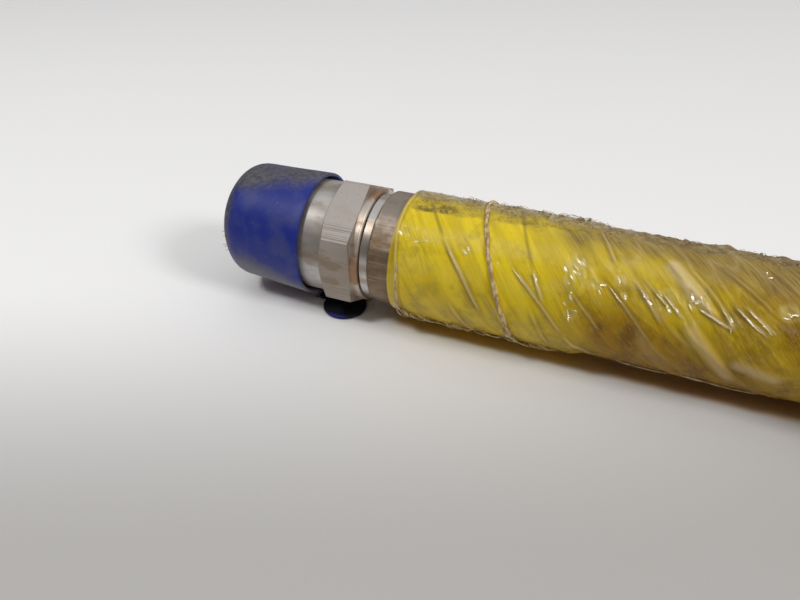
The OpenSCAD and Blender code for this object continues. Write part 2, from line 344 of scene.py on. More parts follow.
# %% Nut sizes
MOUTH = -1.5
COLLAR_END, HEX_END, NUT_END = 18.7, 30.2, 32.8
HEX_CHAMFER = 2.0
NUT_TURN = math.radians(2)
COLLAR_R, FACE_R, FLAT_R, SKIRT_R = 19.9, 20.2, 20.5, 20.1
CORNER_R = FLAT_R / math.cos(math.pi / 6)
BORE_R, ROOT_R, RELIEF_R, NOSE_R = 16.9, 17.9, 17.7, 14.0
THREAD_PITCH, THREAD_TURNS, THREAD_STEPS = 2.0, 5.4, 360
print(f"nut {NUT_END - MOUTH:.1f} mm long, its corners reach {CORNER_R:.2f} mm")

# %% Nut steel
def nut_steel():
    material, shader, add = new_material("ZincPlatedSteel_TurnedAndMilled")
    place = add("TexCoord", output="Object")
    x, z = (add("SeparateXYZ", place, output=axis) for axis in "XZ")
    corner = add("Attribute", attribute_name="corner", output="Fac")
    behind = add("MapRange", x, (COLLAR_END - 0.1) * MM, (COLLAR_END + 0.1) * MM)
    on_skirt = add("MapRange", x, (HEX_END - 0.1) * MM, (HEX_END + 0.1) * MM)
    on_hexagon = add("Math", behind, on_skirt, operation="SUBTRACT")
    # Smudges are 14 mm long and 8 mm wide, where fingers and rags slid, and bands
    # 70 mm by 8. The flats' rubbed stains are 11 mm by 4 and the specks 0.7 mm
    smudges = add("TexNoise", add("Mapping", place, Scale=(70, 130, 130)), 1.0, 4.0, 0.6)
    bands = add("TexNoise", add("Mapping", place, Scale=(14, 120, 120)), 1.0, 2.0)
    rubbed = add("TexNoise", add("Mapping", place, Scale=(90, 260, 260)), 1.0, 3.0, 0.6)
    specks = add("TexNoise", place, 1400, 2.0, 0.7)
    # Cutter marks 0.4 mm apart run along the axis, and the lathe's rings round it
    chatter = add("TexNoise", add("Mapping", place, Scale=(8, 2600, 2600)), 1.0, 2.0, 0.6)
    rings = add("TexNoise", add("Mapping", place, Scale=(2500, 30, 30)), 1.0, 1.0)
    collar = coats(
        add,
        add("Mix", add("MapRange", bands, 0.4, 0.62), "#C8C5C2", "#ABA59E"),
        (add("MapRange", smudges, 0.52, 0.7, 0.0, 0.5), "#957C62"),
    )
    skirt = add("Mix", add("MapRange", smudges, 0.42, 0.6), "#CBC0B4", "#A48468")
    # The lower flats have been handled more than the upper ones
    low = add("MapRange", z, 14 * MM, 4 * MM, 0.1, 0.6)
    scores = add("MapRange", chatter, 0.5, 0.62, 0.0, 0.75)
    scored = add("Math", add("MapRange", corner, 0.1, 0.8), scores)
    milled = coats(
        add,
        "#B2ABA6",
        (add("Math", low, add("MapRange", smudges, 0.3, 0.65, 0.5, 1.2)), "#9D8D7A"),
        (add("Math", low, add("MapRange", rubbed, 0.5, 0.66)), "#8B7862"),
        (add("Math", low, add("MapRange", rubbed, 0.46, 0.36, 0.0, 0.6)), "#A89F96"),
        (add("MapRange", specks, 0.6, 0.7, 0.0, 0.3), "#6A5442"),
        (scored, "#6E6459"),
    )
    flat_height = add("Mix", add("Math", corner, 0.9), specks, chatter, data_type="FLOAT")
    rough = add("MapRange", smudges, 0.4, 0.65, 0.4, 0.54)
    duller = add("MapRange", on_skirt, 0.0, 1.0, 0.1, 0.0)
    rough = add("Math", rough, duller, operation="ADD")
    shine = add("Mix", on_skirt, 0.84, 0.7, data_type="FLOAT")
    height = add("Mix", on_hexagon, rings, flat_height, data_type="FLOAT")
    wire(
        shader,
        Base_Color=add("Mix", on_hexagon, add("Mix", on_skirt, collar, skirt), milled),
        Metallic=add("Mix", on_hexagon, shine, 0.5, data_type="FLOAT"),
        Roughness=add("Mix", on_hexagon, rough, 0.56, data_type="FLOAT"),
        Normal=add("Bump", Strength=0.5, Distance=0.05 * MM, Height=height),
    )
    return material


NUT_STEEL = nut_steel()
print("finish", NUT_STEEL.name)

# %% [markdown]
# The nipple's shoulder is turned bright and stays so between the nut and the
# ferrule, with a tea-coloured tint where oil has dried. The ferrule is pressed
# from tube and plated, then squeezed by eight dies. They scratch it lengthwise and
# leave it brown-grey, so its noise is drawn out along X. Its top is paler.

# %% Nipple and ferrule steel
def nipple_steel():
    material, shader, add = new_material("ZincPlatedSteel_TurnedBright", Metallic=0.85)
    place = add("TexCoord", output="Object")
    # The tint's patches are 25 mm by 6, and the rings are drawn 0.45 mm apart
    tint = add("TexNoise", add("Mapping", place, Scale=(40, 160, 160)), 1.0, 3.0)
    rings = add("TexNoise", add("Mapping", place, Scale=(2200, 25, 25)), 1.0, 1.0)
    wire(
        shader,
        Base_Color=add("Mix", add("MapRange", tint, 0.42, 0.62), "#CDCAC7", "#A39588"),
        Roughness=add("MapRange", tint, 0.35, 0.7, 0.3, 0.42),
        Normal=add("Bump", Strength=0.5, Distance=0.015 * MM, Height=rings),
    )
    return material


def ferrule_steel():
    material, shader, add = new_material("ZincPlatedSteel_Crimped", Metallic=0.6)
    place = add("TexCoord", output="Object")
    # Stains are 14 mm by 8, scratches 29 mm by 0.7 and specks 0.9 mm
    stains = add("TexNoise", add("Mapping", place, Scale=(70, 120, 120)), 1.0, 4.0, 0.6)
    scratches = add("TexNoise", add("Mapping", place, Scale=(35, 1500, 1500)), 1.0, 2.0)
    specks = add("TexNoise", place, 1100, 2.0, 0.7)
    height = add("SeparateXYZ", place, output="Z")
    colour = coats(
        add,
        add("Mix", add("MapRange", stains, 0.4, 0.62), "#8C7A64", "#765F47"),
        # Paler towards the top
        (add("MapRange", height, 11 * MM, 19 * MM, 0.0, 0.6), "#A39B94"),
        (add("MapRange", scratches, 0.6, 0.72, 0.0, 0.45), "#B4A896"),
        (add("MapRange", specks, 0.6, 0.75, 0.0, 0.4), "#584838"),
    )
    wire(
        shader,
        Base_Color=colour,
        Roughness=add("MapRange", stains, 0.35, 0.65, 0.42, 0.58),
        Normal=add("Bump", Strength=0.6, Distance=0.03 * MM, Height=scratches),
    )
    return material


NIPPLE_STEEL = nipple_steel()
FERRULE_STEEL = ferrule_steel()
print("finishes", NIPPLE_STEEL.name, FERRULE_STEEL.name)

# %% [markdown]
# ## The swivel nut
#
# A nut starts as a turned blank, and its flats are milled afterwards. The mesh is
# made the same way: a spun blank as wide as the hexagon's corners, whose points
# are then pressed in to the six flats. The front corners have a chamfer: its outer
# ring slides along the cone to where the cone meets the flat, which gives the
# curved edges that a real nut has. Bevelling comes last, on the sharp edges alone.
# An attribute marks the points beside the corners, for the cutter's marks there.

# %% Press flats into a turned piece
def radius_of(vertex):
    """A point's distance from the X axis, in mm."""
    return math.hypot(vertex.co.y, vertex.co.z) / MM


def flat_reach(vertex, flats, flat_r, turn=0.0):
    """How far a regular prism reaches in a point's direction, in mm."""
    part = math.tau / flats
    angle = (math.atan2(vertex.co.y, vertex.co.z) + turn) % part - part / 2
    return flat_r / math.cos(angle)


def press_in(vertex, reach):
    """Moves a point straight towards the axis, to a distance of so many mm from it."""
    radius = radius_of(vertex)
    if radius > reach:
        vertex.co.y *= reach / radius
        vertex.co.z *= reach / radius


# %% Nut mesh
BLANK_R = 23.0  # only the blank's outside is wider
CORNER_FROM, CORNER_FADE = 20.9, 0.8  # where the cutter's marks start, and grow full


def nut_mesh():
    blank = [
        (MOUTH, BORE_R + 1.5),
        (MOUTH, COLLAR_R - 0.75),
        (MOUTH + 0.75, COLLAR_R),
        (COLLAR_END, COLLAR_R),
        (COLLAR_END, FACE_R),
        (COLLAR_END + HEX_CHAMFER, CORNER_R),
        (HEX_END, CORNER_R),
        (HEX_END, SKIRT_R),
        (NUT_END - 0.6, SKIRT_R),
        (NUT_END, SKIRT_R - 0.6),
        (NUT_END, NOSE_R + 0.1),
        (22.8, NOSE_R + 0.1),
        (22.8, RELIEF_R),
        (13.2, RELIEF_R),
        (13, ROOT_R),
        (0.5, ROOT_R),
    ]
    bm = turned(blank, steps=180)
    for vertex in bm.verts:
        if radius_of(vertex) < BLANK_R:
            continue
        reach = flat_reach(vertex, 6, FLAT_R)
        press_in(vertex, reach)
        if vertex.co.x < (HEX_END - 1) * MM:
            share = (CORNER_R - reach) / (CORNER_R - FACE_R)
            vertex.co.x -= share * HEX_CHAMFER * MM
    break_edges(bm, 0.22)
    corner = bm.verts.layers.float.new("corner")
    for vertex in bm.verts:
        rise = math.degrees(math.atan2(vertex.co.z, -vertex.co.y))
        above_corner = 0 <= (rise - 30) % 60 < 30
        near_corner = min(1, max(0, (radius_of(vertex) - CORNER_FROM) / CORNER_FADE))
        vertex[corner] = near_corner if above_corner else 0
    return bm


def thread_ridge(bm):
    """Adds the ridge of the thread, a small wedge spun while it moves along."""
    middle, half_foot, half_crest = 1.2, THREAD_PITCH / 2 - 0.1, 0.2
    foot_r = ROOT_R + 0.1
    wedge = [
        (middle - half_foot, foot_r),
        (middle - half_crest, BORE_R),
        (middle + half_crest, BORE_R),
        (middle + half_foot, foot_r),
    ]
    points = [bm.verts.new((x * MM, 0, r * MM)) for x, r in wedge]
    edges = [bm.edges.new(pair) for pair in zip(points, points[1:])]
    bmesh.ops.spin(
        bm,
        geom=points + edges,
        cent=(0, 0, 0),
        axis=(1, 0, 0),
        dvec=(THREAD_PITCH * THREAD_TURNS / THREAD_STEPS * MM, 0, 0),
        angle=math.tau * THREAD_TURNS,
        steps=THREAD_STEPS,
    )


bm = nut_mesh()
thread_ridge(bm)
bmesh.ops.rotate(bm, verts=bm.verts, cent=(0, 0, 0), matrix=Matrix.Rotation(NUT_TURN, 3, "X"))
NUT_MESH = to_mesh(bm, "nut")
print("nut", len(NUT_MESH.polygons), "faces")

# %% [markdown]
# ## The nipple and the ferrule
#
# The nipple is one turned piece: the cone that seals in the port, the run that the
# nut swivels on, the bright shoulder, and a barbed tail inside the hose. The
# ferrule is a tube whose outside was squeezed to eight soft flats, so its points
# are pressed in like the nut's, but only most of the way, which keeps the ridges
# between the flats round.

# %% Nipple mesh
SEAL_X, SEAL_HALF = 16.5, 1.15
BARB_X, BARB_STEP, BARBS = 47, 7, 8


def nipple_mesh():
    barb = ((0, 11.4), (5.6, 12.1), (6.8, 12.1))
    barbs = [(BARB_X + BARB_STEP * i + dx, r) for i in range(BARBS) for dx, r in barb]
    profile = [
        (13.5, 9.9),
        (13.5, 12.0),
        (13.8, 12.3),
        (SEAL_X - SEAL_HALF, 12.5),
        (SEAL_X - SEAL_HALF, 11.1),
        (SEAL_X + SEAL_HALF, 11.1),
        (SEAL_X + SEAL_HALF, 12.9),
        (22.0, NOSE_R),
        (33.1, NOSE_R),
        (33.1, 18.75),
        (33.35, 19.0),
        (36.0, 19.0),
        (36.2, 18.8),
        (36.2, 12.6),
        (40.2, 12.6),
        (40.2, 13.8),
        (42.2, 13.8),
        (42.2, 12.1),
        *barbs,
        (106.2, 11.5),
        (106.2, 9.75),
        (13.7, 9.75),
    ]
    return turned(profile, steps=128)


bm = nipple_mesh()
break_edges(bm, 0.12)
NIPPLE_MESH = to_mesh(bm, "nipple")
print("nipple", len(NIPPLE_MESH.polygons), "faces")

# %% Ferrule mesh
FERRULE_X, FERRULE_R = 36.2, 20.2
CRIMP_DEPTH = 0.9  # how far the dies press the flats in
RIDGE_LEFT = 0.12  # the share of a ridge that they leave
OUTSIDE_R = 19.1  # only the ferrule's outside is wider


def ferrule_mesh():
    profile = [
        (FERRULE_X, 12.65),
        (FERRULE_X, FERRULE_R - 1.0),
        (FERRULE_X + 0.3, FERRULE_R - 0.45),
        (FERRULE_X + 1.0, FERRULE_R),
        (FERRULE_X + 12, FERRULE_R),
        (FERRULE_END - 0.5, FERRULE_R),
        (FERRULE_END, FERRULE_R - 0.5),
        (FERRULE_END, 18.95),
        (104.2, 18.0),
        (40.2, 18.0),
        (40.2, 12.65),
    ]
    bm = turned(profile, steps=160)
    for vertex in bm.verts:
        radius = radius_of(vertex)
        if radius > OUTSIDE_R:
            flat = flat_reach(vertex, 8, FERRULE_R - CRIMP_DEPTH, turn=math.tau / 16)
            press_in(vertex, flat + max(0.0, radius - flat) * RIDGE_LEFT)
    return bm


bm = ferrule_mesh()
break_edges(bm, 0.15, angle=35)
FERRULE_MESH = to_mesh(bm, "ferrule")
print("ferrule", len(FERRULE_MESH.polygons), "faces")

# %% [markdown]
# ## Both ends
#
# The hose has the same fitting at each end. Each mesh is made once, at the near
# end, and copied for the far end with its points moved there. The stains differ,
# because the materials read the place on the object.

# %% Put the steel pieces on
def at_both_ends(name, mesh, material, body):
    """Puts a fitting's piece at the near end, and a copy of it at the far end."""
    far = mesh.copy()
    far.transform(Matrix.Translation((0, FAR_Y * MM, 0)))
    made = []
    for end, its_mesh in (("a", mesh), ("b", far)):
        rides_on = body if body == "hose" else f"{body}_{end}"
        node = f"{name}_{end}"
        made.append(put(f"{node}_piece", its_mesh, material, rides_on, [node]))
    return made


nuts = at_both_ends("nut", NUT_MESH, NUT_STEEL, "nut")
nipples = at_both_ends("nipple", NIPPLE_MESH, NIPPLE_STEEL, "hose")
ferrules = at_both_ends("ferrule", FERRULE_MESH, FERRULE_STEEL, "hose")
for piece in nuts + nipples + ferrules:
    weigh_normals(piece)


# %% [markdown]
# ## Blue polythene
#
# The cap is moulded in soft polythene, blue right through. It is matt and slightly
# waxy. It turns grey on top, along its lower side and round its closed end, and
# small nicks and rub marks catch the light. The tab under the nut is painted near
# black, as painted shade under the nut, with a painted lit blue along its front edge.

# %% Cap sizes
RIM, CAP_X = 11.0, -21.6
CAP_R, CAP_END_R, CAP_WALL, CAP_ROUND = 22.3, 21.1, 1.2, 7.5
LEAN = 0.95  # the closed end stands this much higher than the rim
TAB_R, STRAP, TAB_THICK = 8.0, 3.6, 1.2
TAB_SIDE_Y = -3.29  # the straight side of the tongue
NECK_Y, NECK_WIDE = -5.79, 4.9
print("cap", RIM - CAP_X, "mm long")

# %% Cap plastic
def cap_plastic():
    material, shader, add = new_material(
        "Polythene_MouldedBlue",
        IOR=1.51,
        Specular_IOR_Level=0.3,
        Subsurface_Weight=0.05,
        Subsurface_Radius=(0.2 * MM, 0.3 * MM, 1.0 * MM),
    )
    place = add("TexCoord", output="Object")
    x, y, z = (add("SeparateXYZ", place, output=axis) for axis in "XYZ")
    # Patches are 8 mm wide, dust lies in spots of 1.7 mm, and the grain is 0.4 mm
    patches = add("TexNoise", place, 130, 3.0)
    dust = add("TexNoise", place, 600, 4.0, 0.6)
    grain = add("TexNoise", place, 2600, 2.0)
    # The far cap's own Y starts at its middle, as the near cap's does
    shift = add("MapRange", y, -210 * MM, -230 * MM, 0, -FAR_Y * MM)
    own_y = add("Math", y, shift, operation="ADD")
    # Grey lies on top, more to the back and towards the closed end
    raised = add("Math", add("Math", z, 0.954), add("Math", own_y, 0.3), operation="ADD")
    raised = add("Math", add("Math", x, -0.2), raised, operation="ADD")
    upper = add("MapRange", raised, 14 * MM, 21.5 * MM)
    # Low down it reaches higher towards the closed end
    sagging = add("Math", add("Math", x, 0.3), z, operation="ADD")
    lower = add("MapRange", sagging, -1.5 * MM, -12.5 * MM)
    closed_end = add("MapRange", x, -14.5 * MM, -19.5 * MM)
    greying = add("Math", upper, lower, operation="MAXIMUM")
    greying = add("Math", greying, closed_end, operation="MAXIMUM")
    uneven = add("MapRange", patches, 0.3, 0.7, -0.18, 0.18)
    share = add("Clamp", add("Math", greying, uneven, operation="ADD"))
    grey_tone = add("Mix", add("MapRange", dust, 0.35, 0.65), "#4C4B4B", "#676461")
    # The tab is painted near black, as painted shade under the nut, and its front edge a brighter
    # blue, as painted light on that edge
    tab_painted_shade = add("Mix", add("MapRange", own_y, -16.2 * MM, -17.2 * MM), "#0B0B1E", "#1E2170")
    colour = coats(
        add,
        add("Mix", add("MapRange", patches, 0.4, 0.65), "#202F88", "#313D8C"),
        (add("Math", share, 0.9), add("Mix", lower, grey_tone, "#7C7A80")),
        # The tab takes its painted shade
        (add("MapRange", x, (RIM + 0.3) * MM, (RIM + 0.6) * MM), tab_painted_shade),
        (add("MapRange", dust, 0.68, 0.78, 0.0, 0.4), "#A9ACBC"),
    )
    height = add("Mix", 0.35, dust, grain, data_type="FLOAT")
    wire(
        shader,
        Base_Color=colour,
        Roughness=add("MapRange", share, 0.0, 1.0, 0.45, 0.62),
        Normal=add("Bump", Strength=0.4, Distance=0.06 * MM, Height=height),
    )
    return material


CAP_PLASTIC = cap_plastic()
print("finish", CAP_PLASTIC.name)

# %% [markdown]
# ## The cap and its pull tab
#
# The cap is a thin cup that is pushed over the nut's mouth. It is spun from the
# line of its wall, outside and inside in one go. A spun cup looks too perfect, so
# its points are then moved a little by two slow waves, as a cup that was squeezed
# and has sprung back. The tab is a round tongue that has been bent flat under the
# nut: a disc with its straight side cut off, and a neck to the rim.

# %% Cap mesh
def quarter(x, r, round_r, steps=8):
    """The rounded corner of the cap's end, from its flat end to its side."""
    angles = [math.pi / 2 * i / steps for i in range(steps + 1)]
    return [(x + round_r * (1 - math.cos(a)), r - round_r * (1 - math.sin(a))) for a in angles]


def cap_mesh():
    inner_x, inner_r = CAP_X + CAP_WALL, CAP_END_R - CAP_WALL
    slope = (CAP_R - CAP_END_R) / (RIM - CAP_X - CAP_ROUND)
    profile = [
        (CAP_X, 0),
        (CAP_X, 5),
        (CAP_X, 10),
        *quarter(CAP_X, CAP_END_R, CAP_ROUND),
        *((x, CAP_R - slope * (RIM - x)) for x in (-10, -6, -2, 3, 7)),
        (RIM - 0.5, CAP_R - 0.05),
        (RIM - 0.15, CAP_R - 0.12),
        (RIM, CAP_R - 0.35),
        (RIM, CAP_END_R + 0.2),
        (RIM - 0.3, CAP_END_R - 0.05),
        (0, COLLAR_R + 0.06),
        (MOUTH - 0.3, COLLAR_R + 0.06),
        *reversed(quarter(inner_x, inner_r, CAP_ROUND - CAP_WALL)),
        (inner_x, 6),
        (inner_x, 0),
    ]
    bm = turned(profile, steps=128, closed=False)
    for vertex in bm.verts:
        x, y, z = (c / MM for c in vertex.co)
        around = math.atan2(z, y)
        behind = (RIM - x) / (RIM - CAP_X)
        dent = behind * (0.006 * math.sin(3 * around + 0.5) + 0.004 * math.sin(5 * around + x / 4))
        vertex.co.x += 0.15 * behind * math.sin(2 * around + 1) * MM
        vertex.co.y *= 1 + dent
        vertex.co.z = z * (1 + dent) * MM + LEAN * behind * MM
    return bm


def tab_bmesh():
    """The round tongue under the nut, with the neck that joins it to the cap."""
    bm = bmesh.new()
    bottom = FLOOR_Z + 0.35
    middle = Vector((RIM + STRAP + TAB_R, TAB_SIDE_Y - 0.8 * TAB_R, bottom))
    bmesh.ops.create_circle(bm, cap_ends=True, radius=TAB_R * MM, segments=64)
    bmesh.ops.translate(bm, verts=bm.verts, vec=middle * MM)
    bmesh.ops.bisect_plane(
        bm,
        geom=bm.verts[:] + bm.edges[:] + bm.faces[:],
        plane_co=(0, TAB_SIDE_Y * MM, 0),
        plane_no=(0, 1, 0),
        clear_outer=True,
    )
    raised = bmesh.ops.extrude_face_region(bm, geom=bm.faces[:])
    top = [g for g in raised["geom"] if isinstance(g, bmesh.types.BMVert)]
    bmesh.ops.translate(bm, verts=top, vec=(0, 0, TAB_THICK * MM))
    tidy_normals(bm)
    break_edges(bm, 0.35, angle=50)
    # The neck runs from the tongue's middle to the rim, and there up to the cap
    reach = STRAP + TAB_R
    for x, length, height in ((RIM + reach / 2 - 1, reach, 1.15), (RIM - 1.15, 2.3, 4.2)):
        block = bmesh.ops.create_cube(bm, size=1)["verts"]
        bmesh.ops.scale(bm, verts=block, vec=(length * MM, NECK_WIDE * MM, height * MM))
        place = Vector((x, NECK_Y, bottom + height / 2 + 0.02))
        bmesh.ops.translate(bm, verts=block, vec=place * MM)
    return bm


# %% Join the tab to the cap
def add_mesh(bm, other):
    """Copies another bmesh into this one."""
    carried = bpy.data.meshes.new("carried")
    other.to_mesh(carried)
    other.free()
    bm.from_mesh(carried)
    bpy.data.meshes.remove(carried)


bm = cap_mesh()
add_mesh(bm, tab_bmesh())
caps = at_both_ends("cap", to_mesh(bm, "cap", 50), CAP_PLASTIC, "cap")

# %% [markdown]
# ## The hose itself
#
# Under its wrapping the hose is black synthetic rubber, 39 mm thick, over two wire
# braids. It is cured in a wrap of wet cloth, whose weave stays on it as a fine matt
# pattern. It is made as one thick-walled tube along the route and stands for the
# five CAD layers. The braids end inside the ferrules, so nothing else of them
# shows.

# %% Hose rubber
def hose_rubber():
    material, shader, add = new_material("SyntheticRubber_WrapMoulded", Roughness=0.6)
    place = add("TexCoord", output="Object")
    # The weave is 0.7 mm, and the worn patches are 8 mm wide
    cloth = add("TexNoise", place, 1500, 2.0)
    worn = add("TexNoise", place, 120, 3.0)
    wire(
        shader,
        Base_Color=add("Mix", add("MapRange", worn, 0.4, 0.65), "#1B1B1D", "#2C2B2A"),
        Normal=add("Bump", Strength=0.6, Distance=0.1 * MM, Height=cloth),
    )
    return material


# %% Hose tube
def frames_along(line):
    """At each point of a line: its direction, its left side and its up side."""
    ahead = np.gradient(line, axis=0)
    ahead /= np.linalg.norm(ahead, axis=1, keepdims=True)
    side = np.cross([0, 0, 1], ahead)
    side /= np.linalg.norm(side, axis=1, keepdims=True)
    return ahead, side, np.cross(ahead, side)


def rolled_sheet(line, radius_at, around, shape=None):
    """A sheet of mesh rolled into a tube round a line.

    The grid starts flat, a column for each point of the line. Each point then goes
    to its place: its column says where along, its row what angle, in radians up
    from the side where the camera stands.
    """
    columns = len(line)
    bm = bmesh.new()
    bmesh.ops.create_grid(bm, x_segments=columns - 1, y_segments=around, size=0.5)
    flat = np.array([v.co[:] for v in bm.verts])
    column = np.rint((flat[:, 0] + 0.5) * (columns - 1)).astype(int)
    angle = (flat[:, 1] + 0.5) * math.tau - math.pi * 0.75
    _, side, up = frames_along(line)
    radius = radius_at[column] + (shape(column, angle) if shape else 0)
    out = -np.cos(angle)[:, None] * side[column] + np.sin(angle)[:, None] * up[column]
    place = line[column] + radius[:, None] * out
    place[:, 2] = np.maximum(place[:, 2], FLOOR_Z)
    for vertex, co in zip(bm.verts, place * MM):
        vertex.co = co
    return bm, column, angle


HOSE_R, HOSE_WALL = 19.45, 6.8
LAYERS = ["inner_tube", "inner_braid", "interlayer", "outer_braid", "cover"]
line = even(hose_line, 6)
bm, _, _ = rolled_sheet(line, np.full(len(line), HOSE_R), 48)
bmesh.ops.remove_doubles(bm, verts=bm.verts, dist=0.01 * MM)
bmesh.ops.solidify(bm, geom=bm.faces[:], thickness=HOSE_WALL * MM)
bmesh.ops.recalc_face_normals(bm, faces=bm.faces)
hose = put("hose_piece", to_mesh(bm, "hose"), hose_rubber(), "hose", LAYERS)

# %% [markdown]
# ## The wrapping's line
#
# The yellow sleeve and the film start 8 mm behind the ferrule's front, run over
# the whole hose and end on the other ferrule. Their line is the hose's, with a
# straight piece at each end, and their radius drops behind the ferrules.

# %% Wrapping line
WRAP_X = 44.2
FILM_FERRULE_R, FILM_HOSE_R = 21.8, 20.6


def wrap_line(step, start=0.0, end=None):
    """Points along the wrapping, from one distance to another, and those distances."""
    ends = [np.array([[WRAP_X, y, 0.0], [FERRULE_END - 2, y, 0.0]]) for y in (0, FAR_Y)]
    whole = even(np.vstack([ends[0], hose_line, ends[1][::-1]]), 0.5)
    run = np.linspace(0, np.linalg.norm(np.diff(whole, axis=0), axis=1).sum(), len(whole))
    end = run[-1] if end is None else end
    stops = np.linspace(start, end, round((end - start) / step) + 1)
    return np.column_stack([np.interp(stops, run, whole[:, k]) for k in range(3)]), stops, run[-1]


def smooth(value, start, end):
    """0 before start, 1 after end, and a soft step between them."""
    t = np.clip((value - start) / (end - start), 0, 1)
    return t * t * (3 - 2 * t)


def film_radius(stops, whole):
    """The film's radius: wider on the ferrules, and drawn in at its two edges."""
    near = np.minimum(stops, whole - stops)
    ferrule = FERRULE_END - WRAP_X
    past_ferrule = smooth(near, ferrule - 4, ferrule + 1)
    radius = FILM_FERRULE_R + (FILM_HOSE_R - FILM_FERRULE_R) * past_ferrule
    return radius - 0.5 * (1 - smooth(near, -1, 1.5))


_, _, WRAP_LENGTH = wrap_line(5)
print(f"wrapping {WRAP_LENGTH:.0f} mm long")

# %% [markdown]
# ## Folds in the film
#
# Film that is wound on at a slant pulls into folds along its turns. Two kinds are
# made. Small ones come from noise that is drawn out along the turns: the noise is
# read on a twisted cylinder, which has no seam. The large ones near the fitting
# are single pleats, each drawn from a start to an end on the unrolled film. The
# film is tan along a pleat, where several layers lie together, and painted dark at
# its sides, partly painted shade in the grooves there and partly dirt caught in
# them. Here and there it is crushed into tight crumples.

# %% Noise on many points
UNROLLED_R = 22  # mm, the radius that the film is unrolled at
NO_TURN = 1e6  # mm, a turn so long that patches lie straight


def lattice_noise(points, seed):
    """Smooth noise from -1 to 1: random values on a lattice, blended in between."""
    table = np.random.default_rng(seed).uniform(-1, 1, 4099)
    cell = np.floor(points).astype(np.int64)
    part = points - cell
    ease = part * part * (3 - 2 * part)
    total = np.zeros(len(points))
    for corner in itertools.product((0, 1), repeat=3):
        key = (cell + corner) @ np.array([1, 157, 24571]) % 4099
        total += table[key] * np.prod(np.where(corner, ease, 1 - ease), axis=1)
    return total


def on_turns(run, angle, turn, along, across):
    """Places for noise on a cylinder twisted by one turn in so many millimetres.

    Patches come out as long as along, in the direction of the turns, and as wide
    as across.
    """
    twist = angle + run * math.tau / turn
    round_r = UNROLLED_R / across
    return np.column_stack([run / along, round_r * np.cos(twist), round_r * np.sin(twist)])


def ridges(noise, sharpness):
    """Turns noise into thin ridges where it passes through zero."""
    return (1 - np.abs(noise)) ** sharpness


def bell(gap, width):
    """1 where the gap is 0, and soon nothing beyond the width."""
    return np.exp(-((gap / width) ** 2))


print("noise ready")

# %% Large folds
# Start and end as (distance along X in mm, degrees up from the camera's side),
# then bow in mm, height in mm, width in mm, and how tan and how dark it is
FOLDS = [
    ((51.5, 89), (61, 50), 0.0, 0.25, 0.45, 0.2, 1.0),
    ((61, 50), (77, -10), 0.9, 0.55, 0.55, 1.0, 0.8),
    ((84.5, 37), (103, -13), 1.2, 0.45, 0.5, 0.9, 0.7),
    ((81.5, 100), (91, 37), -0.7, 0.25, 0.45, 0.2, 1.0),
    ((91, 37), (95.5, 14), 0.0, 0.45, 0.55, 0.9, 0.6),
    ((94, 92), (103, 67), 0.0, 0.3, 0.45, 0.3, 0.9),
    ((71, 86), (76.5, 37), 0.3, 0.1, 0.6, 0.3, 0.9),
    ((76.5, 37), (88, -32), -0.5, 0.1, 0.6, 0.3, 0.9),
    ((77, 8), (82, -10), 0.3, 0.2, 0.4, 0.5, 0.6),
    ((103, 28), (113.5, -3), 0.5, 0.35, 0.5, 0.6, 0.6),
    ((103, -13), (113, -42), -0.5, 0.4, 0.7, 0.7, 0.7),
    ((113, 39), (128, -2), 0.5, 0.4, 0.4, 0.7, 0.7),
    ((119.5, 49), (130, 16), 0.0, 0.4, 0.5, 0.7, 0.6),
    ((122, 52), (131, 30), -0.4, 0.35, 0.4, 0.6, 0.6),
    ((128, 42), (135, 24), 0.0, 0.35, 0.45, 0.7, 0.6),
    ((107, 92), (114, 57), 0.0, 0.4, 0.6, 0.6, 0.8),
    ((127.5, 72), (138, 39), 0.3, 0.5, 2.4, 1.0, 0.0),
    ((133, 52), (142, 33), 0.3, 0.4, 1.4, 0.8, 0.3),
    ((138.5, 35), (148, 24), 0.0, 0.6, 0.45, 1.0, 0.8),
    ((135, 24), (153, -28), 0.6, 0.5, 2.2, 0.7, 0.4),
    ((133, 20), (147, -24), 0.6, 0.3, 0.6, 0.2, 0.8),
    ((149, -3), (164, -14), 0.0, 0.4, 2.6, 0.7, 0.0),
    ((146.5, 44), (157, 23), 0.0, 0.5, 0.4, 0.9, 0.7),
    ((149.5, 45), (158, 27), 0.0, 0.4, 0.4, 0.9, 0.5),
    ((133, 70), (150, 20), 0.8, 0.4, 0.7, 0.5, 0.8),
    ((140, 78), (158, 40), 0.8, 0.3, 0.6, 0.4, 0.7),
    ((49, 70), (60, 8), 0.3, 0.15, 0.5, 0.2, 0.1),
    ((67, 55), (72, 38), 0.2, 0.2, 0.5, 0.3, 0.1),
    ((66, -5), (74, -50), 0.3, 0.35, 0.8, 0.6, 0.5),
    ((80, 5), (88, -40), 0.3, 0.3, 0.6, 0.5, 0.6),
    ((92, 6), (99, -35), 0.3, 0.3, 0.7, 0.4, 0.6),
]
# Place, radius in mm and height in mm of each crumple
CRUMPLES = [
    ((103, 47), 4.0, 0.6),
    ((101, 37), 2.0, 0.4),
    ((109.5, 38), 2.0, 0.5),
    ((103, 22), 2.5, 0.35),
    ((104, 10), 2.5, 0.5),
    ((116, 45), 2.0, 0.5),
    ((118, 34), 1.5, 0.4),
    ((124, 34), 2.0, 0.4),
    ((130, 40), 3.0, 0.5),
    ((137, 44), 4.0, 0.55),
    ((147, 30), 2.5, 0.4),
    ((160, 46), 3.0, 0.5),
    ((153, 76), 2.0, 0.4),
    ((46.5, 50), 3.0, 0.3),
    ((53, 42), 2.0, 0.3),
    ((69, 44), 2.5, 0.25),
    ((76, 45), 1.5, 0.2),
    ((80, 40), 1.2, 0.3),
    ((92, 33), 1.5, 0.3),
    ((85, -38), 3.0, 0.4),
]
SUNK_UNDER = 0.4  # a fold less tan than this is sunk, painted dark in its groove: painted shade with some dirt
print(len(FOLDS), "folds,", len(CRUMPLES), "crumples")


